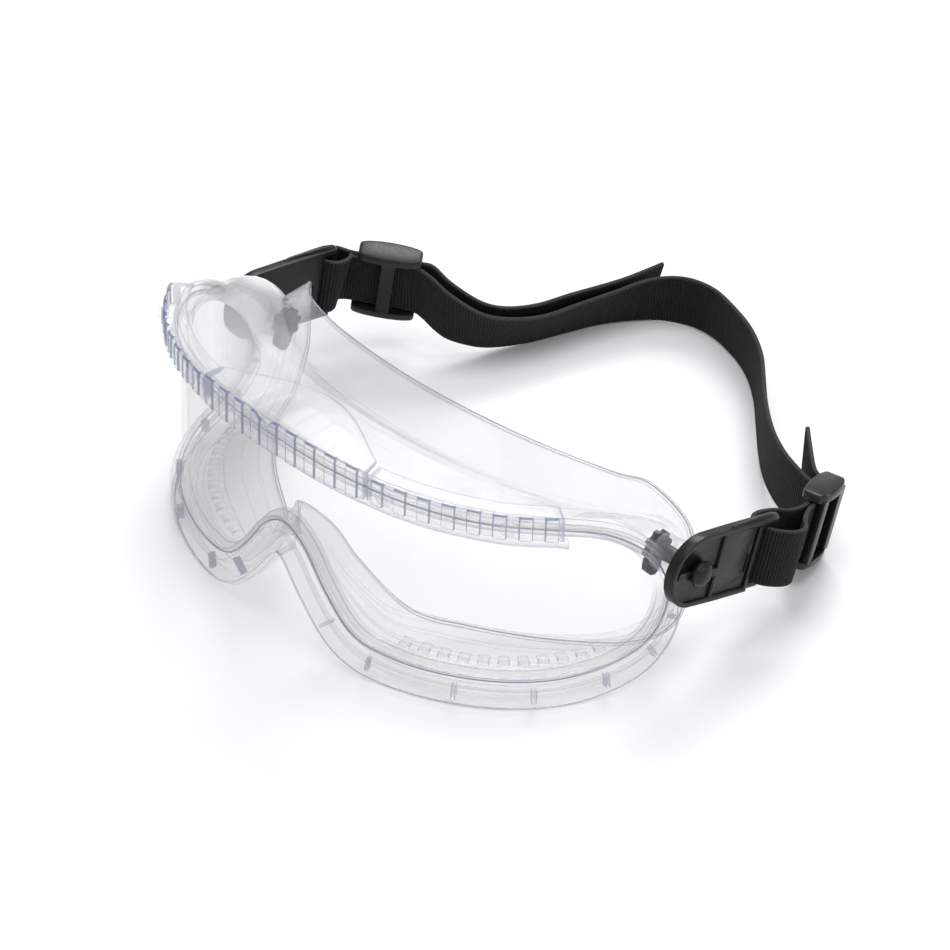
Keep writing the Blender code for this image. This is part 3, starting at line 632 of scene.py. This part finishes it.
def make_lens(shape):
    """The lens sheet, wrapped from its flat outline."""
    flat = bmesh.new()
    haze = flat.verts.layers.float.new("haze")
    outline = [flat.verts.new((u, z, 0.0)) for u, z in shape.rim - shape.out * LENS_GAP]
    flat.faces.new(outline)
    bmesh.ops.triangulate(flat, faces=flat.faces[:])
    reach = max(v.co.x for v in outline)
    cuts = int(reach / LENS_SLICE)
    for k in range(-cuts, cuts + 1):
        everything = flat.verts[:] + flat.edges[:] + flat.faces[:]
        bmesh.ops.bisect_plane(flat, geom=everything, plane_co=(k * LENS_SLICE, 0, 0), plane_no=(1, 0, 0))
    front = flat.verts[:]
    made = bmesh.ops.extrude_face_region(flat, geom=flat.faces[:], use_keep_orig=True)
    back = [v for v in made["geom"] if isinstance(v, bmesh.types.BMVert)]
    for vertex in front:
        near_end = max(0.0, min(1.0, 1.0 - (vertex.co.x - LENS_HAZE_END) / LENS_HAZE_REACH))
        vertex[haze] = LENS_HAZE * near_end
        vertex.co = on_lens(vertex.co.x, vertex.co.y, 0.0)
    for vertex in back:
        vertex.co = on_lens(vertex.co.x, vertex.co.y, -LENS_THICK)
    return finish_piece("lens_sheet", flat, "lens", "goggles", ("lens",), 50.0)


def make_rim_line(shape, name, outward, forward, width, look):
    """A thin ring round the lens's edge, marked all round as a painted dark bluish line in place of the
    edge's refraction and reflection.
    """
    ring = bmesh.new()
    rows = []
    for i in range(shape.count):
        corners = ((0.0, -width), (width * 0.8, 0.0), (0.0, width), (-width * 0.5, 0.0))
        rows.append([Vector(shape.at(i, forward + f, outward + w)) for f, w in corners])
    skin(ring, rows, True, [[1.0] * 4] * shape.count)
    return finish_piece(name, ring, look, "goggles", (), 60.0)


# ---------------------------------------------------------------- top vents
VENT_FRONT = 1.8
VENT_THICK = 2.4
TOOTH_PITCH = 7.0
TOOTH_DEPTH = 0.9
CENTRE_HALF = 33.0


def top_height(u):
    """Height of the lens's top edge at a distance round the lens."""
    samples = np.array([s["rim"] for s in STATIONS[:6]])
    return float(np.interp(abs(u), samples[:, 0], samples[:, 1]))


def vent_section(u, depth, low, high, back, slope, dip, lift):
    """Rounded hook-shaped section with the strength of its painted dark edge lines, which lift strengthens on
    a tooth's top; dip lowers its front edge.
    """
    z = top_height(u)
    face = VENT_FRONT + depth
    front = high - dip
    marked = (((VENT_FRONT, low), 0.1), ((face - 0.5, low), 0.2), ((face - 0.1, low + 0.2), 0.6),
              ((face, low + 0.6), 0.0), ((face, front - 1.4), 0.0), ((face - 0.15, front - 0.7), 0.1),
              ((face - 0.4, front - 0.3), 0.45 + 0.5 * lift), ((face - 0.8, front), 0.3 + 0.5 * lift),
              ((face - 1.2, front), 0.0), ((-back * 0.35, high - slope * 0.1), 0.0),
              ((-back * 0.7, high - slope * 0.45), 0.0), ((-back + 1.1, high - slope * 0.85), 0.0),
              ((-back + 0.5, high - slope), 0.25 + 0.045 * back), ((-back, high - slope - 0.4), 0.6),
              ((-back + 0.1, high - slope - 0.8), 0.0), ((-back * 0.5, high - slope * 0.3 - 1.5), 0.0),
              ((VENT_FRONT, high - 1.8), 0.0))
    return [on_lens(u, z + rise, forward) for (forward, rise), _ in marked], [e for _, e in marked]


def vent_steps(start, end):
    """Distances along a castellated bar with each tooth's share of its full depth."""
    teeth = max(1, round((end - start) / TOOTH_PITCH))
    pitch = (end - start) / teeth
    profile = ((0.0, 0.0), (0.12, 0.0), (0.20, 0.0), (0.235, 0.2), (0.255, 0.8), (0.29, 1.0), (0.42, 1.0),
               (0.58, 1.0), (0.71, 1.0), (0.745, 0.8), (0.765, 0.2), (0.80, 0.0), (0.88, 0.0))
    steps = [(start + (k + share) * pitch, tooth) for k in range(teeth) for share, tooth in profile]
    return steps + [(end, 0.0)]


def tooth_line(tooth):
    """Painted dark edge line where a tooth's side turns."""
    return 0.8 if 0.1 < tooth < 0.9 else 0.0


def make_vent(name, node, start, end, shape_at):
    rows, marks = [], []
    for u, tooth in vent_steps(start, end):
        points, strength = vent_section(u, *shape_at(u, tooth), tooth)
        line = tooth_line(tooth)
        rows.append(points)
        marks.append([max(e, line) if 2 <= k <= 7 else e for k, e in enumerate(strength)])
    marks[0] = marks[-1] = [0.5] * len(rows[0])
    bar = bmesh.new()
    skin(bar, rows, False, marks)
    return finish_piece(name, bar, "vent", "goggles", (node,), 50.0)


def wing_shape(u, tooth):
    """A wing's section, which does not change along the bar."""
    return VENT_THICK + tooth * TOOTH_DEPTH, -1.0, 7.4, 2.6, 0.2, 0.5 * (1 - tooth)


def centre_shape(u, tooth):
    """The half-moon cover, with a notch in its front edge beside the middle."""
    share = max(0.0, 1 - (u / (CENTRE_HALF + 0.5)) ** 2)
    notch = max(0.0, 1 - abs(u + 3.5) / 3.5)
    rise = math.sqrt(share)
    leaf = share ** 1.15
    depth = VENT_THICK + tooth * TOOTH_DEPTH + rise * 0.8
    high = 8.6 + rise * 1.6
    return depth, -1.2, high, 2.2 + 16.0 * leaf, 0.2 + 2.4 * leaf, 0.4 * (1 - tooth) + 4.2 * notch


def make_lower_lip():
    """The faint clear lip that runs below the top vents, in front of the lens."""
    rows, marks = [], []
    for u in np.linspace(-92.0, 92.0, 150):
        z = top_height(u)
        corners = ((0.5, -4.6), (2.3, -4.6), (2.6, -4.1), (2.6, -1.6), (0.5, -1.6))
        rows.append([on_lens(u, z + rise, forward) for forward, rise in corners])
        # The lip's front corners carry painted dark edge lines.
        marks.append([0.0, 0.35, 0.45, 0.0, 0.0])
    lip = bmesh.new()
    skin(lip, rows, False, marks)
    return finish_piece("vent_lip", lip, "vent", "goggles", (), 50.0)


def turned(profile, sides=16):
    """Sections of a turned part along its own z axis, from (distance, radius) pairs."""
    angles = [2 * math.pi * k / sides for k in range(sides)]
    return [[(r * math.cos(a), r * math.sin(a), z) for a in angles] for z, r in profile]


def make_vent_pin(name, u):
    """Domed clear head of a pin, with a dimple in its middle."""
    place, forward = plan_point(u)
    frame_matrix = Matrix((UP.cross(forward), UP, forward)).transposed().to_4x4()
    frame_matrix.translation = on_lens(u, top_height(u) + 3.3)
    near = VENT_FRONT + VENT_THICK + TOOTH_DEPTH - 0.4
    profile = ((near, 2.7), (near + 0.5, 2.75), (near + 0.9, 2.5), (near + 1.3, 2.0), (near + 1.5, 1.4),
               (near + 1.4, 0.8), (near + 1.2, 0.3))
    # Two rings of the head carry painted dark edge lines.
    marks = [[e] * 32 for e in (0.0, 0.55, 0.0, 0.0, 0.35, 0.0, 0.0)]
    return finish_piece(name + "_head", solid(turned(profile, 32), frame_matrix, marks), "vent", "goggles",
                        (name,), 60.0)


# ---------------------------------------------------------------- lower vents
STRIP_FROM = 37.0
STRIP_TO = 113.0
STRIP_TEETH = 11


def make_vent_strip(name, side):
    """A low toothed strip on the frame's floor, behind the lens."""
    pitch = (STRIP_TO - STRIP_FROM) / STRIP_TEETH
    profile = ((0.0, 0.0), (0.22, 0.0), (0.29, 0.5), (0.34, 1.0), (0.78, 1.0), (0.83, 0.5), (0.9, 0.0))
    steps = [(STRIP_FROM + (k + share) * pitch, tooth)
             for k in range(STRIP_TEETH) for share, tooth in profile]
    rows, marks = [], []
    for u, tooth in steps + [(STRIP_TO, 0.0)]:
        top = 8.4 + tooth * 0.8
        corners = ((-8.0, 7.4), (-8.0, top - 0.3), (-8.4, top), (-11.1, top), (-11.5, top - 0.3),
                   (-11.5, 7.4))
        rows.append([on_lens(side * u, z, forward) for forward, z in corners])
        # Painted dark edge lines where each tooth turns.
        line = 0.7 if 0.1 < tooth < 0.9 else 0.25 * tooth
        marks.append([0.0, line, line, 0.0, line, 0.0])
    strip = bmesh.new()
    skin(strip, rows, False, marks)
    return finish_piece(name + "_piece", strip, "vent", "goggles", (name,), 50.0)


# ---------------------------------------------------------------- strap pivots
PIVOT = Vector((90.5, 75.2, 35.5))


def pivot_place(side):
    return Vector((side * PIVOT.x, PIVOT.y, PIVOT.z))


def pivot_frame(side, tilt=0.0):
    """Frame of a strap pivot: x runs back along the clip, y up and z out along the stud."""
    out = Vector((side, 0, 0))
    back = Vector((0, 1, 0))
    low_back = back * math.cos(tilt) - UP * math.sin(tilt)
    high_up = back * math.sin(tilt) + UP * math.cos(tilt)
    made = Matrix((low_back, high_up, out)).transposed().to_4x4()
    made.translation = pivot_place(side)
    return made


def make_boss(name, side):
    """The clear lug on the frame's side that holds the stud."""
    profile = ((-9.0, 5.2), (-8.6, 5.8), (-1.0, 6.0), (0.2, 6.0), (0.8, 5.7), (1.0, 5.2), (1.0, 3.1))
    # Rings of the lug carry painted dark edge lines.
    marks = [[e] * 40 for e in (0.1, 0.3, 0.0, 0.1, 0.5, 0.2, 0.2)]
    lug = solid(turned(profile, 40), pivot_frame(side), marks)
    haze = lug.verts.layers.float.new("haze")
    for vertex in lug.verts:
        vertex[haze] = 0.6 if side < 0 else 0.12
    return finish_piece(name, lug, "soft", "goggles", (), 60.0)


def make_stud(name, side):
    """Ball-headed stud on which the clip turns."""
    profile = ((-11.8, 2.2), (-11.5, 2.6), (1.3, 2.6), (1.3, 4.4), (1.5, 4.6), (2.0, 4.6), (2.2, 4.4),
               (2.2, 2.7), (5.4, 2.7), (5.7, 3.1), (6.1, 3.6), (6.7, 4.0), (7.4, 4.2), (8.1, 4.0), (8.8, 3.3),
               (9.3, 2.4), (9.6, 1.3), (9.7, 0.4))
    return finish_piece(name + "_piece", solid(turned(profile, 40), pivot_frame(side)), "dark", "goggles",
                        (name,), 45.0)


def make_retainer(name, side, look):
    """Toothed ring on the inner end of the shank."""
    rows = []
    for z, shrink in ((-11.9, 0.6), (-11.6, 0.0), (-9.4, 0.0), (-9.1, 0.6)):
        row = []
        for k in range(96):
            angle = 2 * math.pi * k / 96
            lobe = 0.5 + 0.5 * math.tanh(3.0 * math.cos(8 * angle))
            tab = max(0.0, math.cos(angle + 1.9)) ** 10
            radius = 4.5 + 1.0 * lobe + 4.5 * tab - shrink
            row.append((radius * math.cos(angle), radius * math.sin(angle), z))
        rows.append(row)
    return finish_piece(name + "_piece", solid(rows, pivot_frame(side)), look, "goggles", (name,), 45.0)


# ---------------------------------------------------------------- strap clips
CLIP_TILT = {1: math.radians(16.5), -1: math.radians(10.0)}
CLIP_FACE = 2.8
CLIP_THICK = 2.4
CLIP_NOSE = 11.8
CLIP_REAR = 27.0
CLIP_HALF = 12.2
BAR_PLACE = 32.6
BAR_HALF = 1.3
NECK_HOLE = 3.0
RIM_RISE = 1.2


def clip_outline(rear, shrink=0.0):
    """Side outline of the plate: a round nose about the pivot and a straight part back to the rear."""
    nose = CLIP_NOSE - shrink
    half = CLIP_HALF - shrink
    points = [(rear, half), (12.0, half - 0.1)]
    points += [(nose * math.cos(a), nose * math.sin(a))
               for a in (math.radians(90 + 180 * k / 48) for k in range(49))]
    return points + [(12.0, -half + 0.1), (rear, -half)]


def plate(outline, low, high):
    return [[(a, b, c) for a, b in outline] for c in (low, high)]


def box_sections(a_range, b_range, c_range):
    (a0, a1), (b0, b1) = a_range, b_range
    return [[(a0, b0, c), (a1, b0, c), (a1, b1, c), (a0, b1, c)] for c in c_range]


def cutter(sections, frame_matrix):
    return finish_piece("cutter", solid(sections, frame_matrix), "dark", None)


def bar_outline(start, end, width):
    """Outline of a round-ended bar from one point to another."""
    (a0, b0), (a1, b1) = start, end
    angle = math.atan2(b1 - b0, a1 - a0)
    points = []
    for (a, b), turn in (((a1, b1), -90), ((a0, b0), 90)):
        for k in range(9):
            t = angle + math.radians(turn + 180 * k / 8)
            points.append((a + width * math.cos(t), b + width * math.sin(t)))
    return points


def make_clip(name, side, body):
    """Swivel clip: a plate with a raised rim, a bail with a bar for the strap, and a pivot hole."""
    at = pivot_frame(side, CLIP_TILT[side])
    top = CLIP_FACE + CLIP_THICK
    end = BAR_PLACE + BAR_HALF
    blank = solid(plate(clip_outline(end), CLIP_FACE, top + RIM_RISE), at)
    made = finish_piece(name + "_piece", blank, "dark", body, (name,))
    boolean(made, cutter(plate(clip_outline(CLIP_REAR - 1.6, 1.6), top, top + 4), at), "DIFFERENCE")
    step = box_sections((CLIP_REAR, end + 3), (-CLIP_HALF - 3, CLIP_HALF + 3), (top - 0.1, top + 5))
    boolean(made, cutter(step, at), "DIFFERENCE")
    window = box_sections((CLIP_REAR + 0.6, BAR_PLACE - BAR_HALF), (2.0 - CLIP_HALF, CLIP_HALF - 2.0),
                          (CLIP_FACE - 2, top + 6))
    boolean(made, cutter(window, at), "DIFFERENCE")
    hole = turned(((CLIP_FACE - 2, NECK_HOLE), (top + 4, NECK_HOLE)), 40)
    boolean(made, cutter(hole, at), "DIFFERENCE")
    slot = box_sections((23.6, 24.8), (-5.5, 1.0), (CLIP_FACE - 1, top + 4))
    boolean(made, cutter(slot, at), "DIFFERENCE")
    bevelled(made, 0.45, 3)
    panel_outline = [(10.6, -10.0), (25.0, -10.0), (25.0, 10.0), (10.6, 10.0)]
    panel = finish_piece(name + "_panel", solid(plate(panel_outline, top - 0.3, top + 0.25), at), "panel",
                         body)
    boolean(panel, cutter(slot, at), "DIFFERENCE")
    bevelled(panel, 0.25)
    rib = finish_piece(name + "_rib", solid(plate(bar_outline((9.6, -10.4), (9.6, 10.4), 0.75), top - 0.4,
                                                  top + 0.95), at), "dark", body)
    bevelled(rib, 0.35)
    spoke = finish_piece(name + "_spoke", solid(plate(bar_outline((-8.4, -0.3), (8.6, -1.6), 1.3), top - 0.4,
                                                      top + 1.3), at), "dark", body)
    boolean(spoke, cutter(turned(((CLIP_FACE - 2, 3.1), (top + 4, 3.1)), 40), at), "DIFFERENCE")
    bevelled(spoke, 0.55, 3)
    rows = []
    for a, b, c, wide in ((12.0, 12.0, 5.4, 0.5), (15.0, 11.8, 5.5, 1.0), (20.0, 11.5, 5.4, 1.4),
                          (25.0, 11.4, 5.2, 1.8), (30.0, 11.2, 5.0, 2.1), (33.4, 10.9, 4.9, 2.0),
                          (34.4, 10.8, 4.8, 1.5), (34.9, 10.8, 4.8, 0.6)):
        rows.append([(a, b + wide * math.cos(2 * math.pi * k / 20),
                      c + 0.85 * wide * math.sin(2 * math.pi * k / 20)) for k in range(20)])
    finish_piece(name + "_finger", solid(rows, at), "dark", body)
    return made


# ---------------------------------------------------------------- the slider's place
# Its middle in the clip's frame (back, out), how far the webbing turns inward there and how far its
# top edge leans inward
SLIDER_SPOT = {1: (67.0, -2.5, math.radians(18.0), 0.0),
               -1: (50.5, -5.5, math.radians(50.0), math.radians(15.0))}


def beside_slider(side, s, off):
    """A point s along the webbing from the slider's middle and off outward, in the clip's frame,
    with the directions along the webbing, up it and out of it."""
    back, out, turn, lean = SLIDER_SPOT[side]
    along = Vector((math.cos(turn), 0.0, -math.sin(turn)))
    across = Vector((math.sin(turn), 0.0, math.cos(turn)))
    up = Vector((0, math.cos(lean), 0)) - across * math.sin(lean)
    outward = across * math.cos(lean) + Vector((0, math.sin(lean), 0))
    return Vector((back, 0.0, out)) + along * s + outward * off, along, up, outward


# ---------------------------------------------------------------- sliders
SLIDER_HALF_WIDTH = 10.5
SLIDER_HALF_HEIGHT = 12.9
CAP_INNER = 10.3
BAR_NEAR = 2.15
BAR_FAR = 4.3


def slider_frame(side):
    """Frame of the slider: x along the strap, y up, z out."""
    place, along, up, outward = beside_slider(side, 0.0, 0.0)
    local = Matrix((along, up, outward)).transposed().to_4x4()
    local.translation = place
    return pivot_frame(side, CLIP_TILT[side]) @ local


def cap_outline(grow=0.0):
    """Plan of a cap: a flat lens shape round the two layers of webbing."""
    count = 24
    turns = [math.pi * k / count for k in range(count + 1)]
    width = SLIDER_HALF_WIDTH + grow
    outer = [(width * math.cos(t), 2.4 + (2.6 + grow) * math.sin(t)) for t in turns]
    inner = [(-width * math.cos(t), -2.4 - (2.2 + grow) * math.sin(t)) for t in turns]
    return outer + inner


def make_slider(name, side, body):
    """Three-bar slider: a rounded cap above and below the webbing, two bars outside it and one inside."""
    at = slider_frame(side)
    made = None
    for low, high in ((CAP_INNER, SLIDER_HALF_HEIGHT), (-SLIDER_HALF_HEIGHT, -CAP_INNER)):
        crown = high if high > 0 else low
        root = low if high > 0 else high
        mid = crown * 0.92 + root * 0.08
        rows = [[(a, b, c) for a, c in cap_outline(grow)]
                for b, grow in ((root, 0.0), (mid - (crown - root) * 0.25, 0.0), (mid, -0.35), (crown, -1.2))]
        if made is None:
            made = finish_piece(name + "_piece", solid(rows, at), "dark", body, (name,))
        else:
            boolean(made, cutter(rows, at), "UNION")
    for a0, a1, c0, c1 in ((-9.4, -5.2, BAR_NEAR, BAR_FAR), (5.2, 9.4, BAR_NEAR, BAR_FAR),
                           (-2.2, 2.2, -BAR_FAR, -BAR_NEAR)):
        bar = box_sections((a0, a1), (-CAP_INNER - 0.5, CAP_INNER + 0.5), (c0, c1))
        boolean(made, cutter(bar, at), "UNION")
    return bevelled(made, 0.35, 2)


# ---------------------------------------------------------------- webbing
# One band runs from the left tail's tip through the left slider and clip, round the back to the right
# clip and slider and on to the right tail's tip. It is made as two halves, joined at the back.
STRAP_HALF = 9.5
STRAP_THICK = 1.5
LAYER_GAP = 0.5
BAND_STEP = 0.8
# Where each half passes from the strap that lies still to the part that swings with its clip
SWING = {"left": ((-44, 180.4, 10), (-73, 131.4, 25)), "right": ((28, 184.4, 10), (80, 146.4, 14.5))}
# How far the two layers run straight on the clip's side of the slider's middle
CLIP_REACH = {1: 13.0, -1: 12.0}
# Route round the clip's bar, from the inner layer to the outer one: back, out and lean in degrees
BAR_LOOP = {
    1: ((47, 0.8, 0), (42, -1.4, 0), (37, -2.3, 0), (33, -1.9, 0), (30.6, -0.6, 0), (29.3, 1.6, 0),
        (29.1, 4.4, 0), (29.8, 7.2, 0), (32, 9.6, 0), (35.5, 11.4, 0), (39.5, 11.8, 0), (43, 10.4, 0),
        (46, 7.6, 0), (49.6, 5.2, 0)),
    -1: ((40.0, 4.2, 12), (37.6, 2.3, 9), (34.4, 0.7, 6), (31.2, 0.6, 3), (29.3, 2.4, 1), (29.1, 4.8, 0),
         (29.8, 7.4, 0), (32, 9.6, -2), (35.2, 10.7, -5), (38.6, 10.4, -8), (41.4, 8.8, -12)),
}
# Routes of middle lines: x, y, height and lean of the top edge towards the goggles, in degrees.
# The strap runs from the left slider to the right one; each tail runs away from its slider. Most of the
# strap's middle points come from a separate fit, and the left tail's lie beside them.
STRAP_ROUTE = ((-77.6, 129.4, 25.5, 7), (-74.6, 130.6, 24.5, 8), (-69.6, 132.2, 21.5, 9),
               (-65.3, 134.9, 17.8, 13), (-58.2, 141.3, 13.3, 24), (-53.8, 149.2, 10.8, 29),
               (-49.8, 160.1, 9.2, 31), (-46.6, 172.9, 8.9, 28), (-42.4, 186.5, 9.1, 24),
               (-35.8, 200.0, 9.7, 11), (-27.4, 207.6, 9.8, 2), (-16.4, 209.8, 9.8, 1),
               (-2.9, 206.2, 9.8, 2), (8.7, 200.6, 9.8, 0), (19.4, 192.5, 9.8, -2), (28.5, 183.3, 9.9, -2),
               (39.4, 171.9, 10.6, -2), (51.8, 160.3, 12.3, -4), (63.0, 152.4, 13.7, -5),
               (72.2, 148.0, 14.4, -6), (77.0, 146.3, 14.5, -6), (81.2, 145.2, 14.7, -6),
               (84.2, 144.5, 15.1, -5))
TAIL_ROUTE = {
    -1: ((-76.2, 132.6, 25.4, 6), (-72.6, 134.6, 23.9, 6), (-67.4, 137.2, 19.2, 8), (-60.8, 143.6, 14.0, 15),
         (-57.1, 150.8, 11.4, 20), (-53.2, 161.1, 10.1, 22), (-50.0, 173.8, 9.8, 21), (-45.6, 187.4, 9.7, 19),
         (-43.2, 196.0, 9.8, 18), (-41.0, 209.5, 9.9, 17)),
    1: ((84.0, 149.9, 13.6, -4), (80.9, 151.0, 13.2, -3), (74.3, 155.0, 11.9, -1), (64.1, 165.2, 10.4, 0),
        (56.8, 172.6, 9.8, 0)),
}


def banded(route, up, lean_sign=1.0):
    """Middle line and edge vector of a band on edge at each point of a route with leans."""
    places = [Vector(point[:3]) for point in route]
    rows = []
    for i, place in enumerate(places):
        along = (places[min(i + 1, len(places) - 1)] - places[max(i - 1, 0)]).normalized()
        right = along.cross(up).normalized()
        tip = math.radians(route[i][3]) * lean_sign
        edge = (up * math.cos(tip) + right * math.sin(tip)) * (STRAP_HALF / right.cross(along).dot(up))
        rows.append((place, edge))
    return rows


def clip_layers(side):
    """The band's points from the inner layer in the slider, round the bar to the outer layer."""
    middle = (STRAP_THICK + LAYER_GAP) / 2
    lean = math.degrees(SLIDER_SPOT[side][3])
    inner = [(*beside_slider(side, s, -middle)[0], lean) for s in (3.0, -4.5, -CLIP_REACH[side])]
    outer = [(*beside_slider(side, s, middle)[0], -lean) for s in (-CLIP_REACH[side], -4.5, 3.0, 8.0)]
    loop = [(back, 0.0, out, tip) for back, out, tip in BAR_LOOP[side]]
    frame = pivot_frame(side, CLIP_TILT[side])
    rows = banded(inner + loop + outer, Vector((0, 1, 0)))
    return [(frame @ place, frame.to_3x3() @ edge) for place, edge in rows]


def webbing_samples():
    """Close samples of the whole band: middle line and edge vector as six numbers each."""
    up = Vector((0, 0, 1))
    left = banded(TAIL_ROUTE[-1], up)[::-1] + clip_layers(-1)[::-1]
    right = clip_layers(1) + banded(TAIL_ROUTE[1], up, -1.0)
    rows = left + banded(STRAP_ROUTE, up) + right
    return catmull([(*place, *edge) for place, edge in rows], 8, False)


def halves():
    """The band's two halves as close samples with the distance along it."""
    samples = webbing_samples()
    reach = np.concatenate([[0.0], np.cumsum(np.linalg.norm(np.diff(samples[:, :3], axis=0), axis=1))])
    back = int(np.argmax(samples[:, 1] - 0.2 * np.abs(samples[:, 0] + 16.0)))
    for label, start, end in (("left", 0.0, reach[back]), ("right", reach[back], reach[-1])):
        at = np.linspace(start, end, round((end - start) / BAND_STEP))
        yield label, at, np.array([np.interp(at, reach, samples[:, k]) for k in range(6)]).T


# Section of the band: share of the half width, share of the half thickness and paleness
BAND_SECTION = ((-1.0, 0.35, 0.9), (-0.985, 0.8, 0.7), (-0.95, 1.0, 0.35), (-0.9, 0.95, 0.0),
                (-0.5, 1.0, 0.0), (0.0, 1.0, 0.0), (0.5, 1.0, 0.0), (0.9, 0.95, 0.0),
                (0.95, 1.0, 0.35), (0.985, 0.8, 0.7), (1.0, 0.35, 0.9))


def make_webbing(label, at, rows):
    """Half of the elastic band, ribbed across, with a rounded paler selvedge."""
    band = bmesh.new()
    sections, marks, places = [], [], []
    for i, row in enumerate(rows):
        along = Vector(rows[min(i + 1, len(rows) - 1)][:3] - rows[max(i - 1, 0)][:3])
        place, edge = Vector(row[:3]), Vector(row[3:])
        across = along.cross(edge).normalized() * (STRAP_THICK / 2 - 0.04)
        half = [(w, t, e) for w, t, e in BAND_SECTION]
        ring = half + [(w, -t, e) for w, t, e in reversed(half)]
        swell = 1.0 + 0.05 * (i % 2)
        sections.append([place + edge * w + across * (t * swell) for w, t, _ in ring])
        marks.append([e for _, _, e in ring])
        places.append([(at[i], w * STRAP_HALF + (2 * STRAP_HALF + STRAP_THICK if k >= len(half) else 0.0))
                       for k, (w, _, _) in enumerate(ring)])
    skin(band, sections, False, marks)
    band.verts.index_update()
    flat = [place for row in places for place in row]
    layer = band.loops.layers.uv.new("band")
    for face in band.faces:
        for loop in face.loops:
            loop[layer].uv = flat[loop.vert.index]
    body = finish_piece("webbing_" + label, band, "webbing", None, (), 50.0)
    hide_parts("strap_end_" + label, "strap_tail_" + label, "head_strap")
    start, end = ((Vector(p) - MIDDLE) * MM for p in SWING[label])
    tuple(start)
    tuple(end)
    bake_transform(body)


# ---------------------------------------------------------------- the whole object
def make_goggles():
    shape = FrameSkin()
    make_frame(shape)
    make_channel_ribs(shape)
    make_lens(shape)
    make_rim_line(shape, "rim_line_front", 0.2, 0.5, 0.28, "rim")
    make_vent("centre_cover", "centre_vent_cover", -CENTRE_HALF, CENTRE_HALF, centre_shape)
    make_lower_lip()
    for label, side in (("left", -1), ("right", 1)):
        start, end = sorted((side * 34.0, side * 90.0))
        make_vent("vent_bar_" + label, "vent_wing_" + label, start, end, wing_shape)
        make_vent_strip("lower_vent_" + label, side)
        make_boss("side_lug_" + label, side)
        make_stud("pivot_stud_" + label, side)
        make_retainer("stud_retainer_" + label, side, "teal")
        make_clip("strap_clip_" + label, side, "clip_%s_body" % label)
        make_slider("slider_" + label, side, "slider_%s_body" % label)
        for place, along_bar in (("inner", 40.0), ("outer", 75.0)):
            make_vent_pin("vent_pin_%s_%s" % (label, place), side * along_bar)
    for label, at, rows in halves():
        make_webbing(label, at, rows)


make_floor()
make_light()
make_goggles()
make_camera()
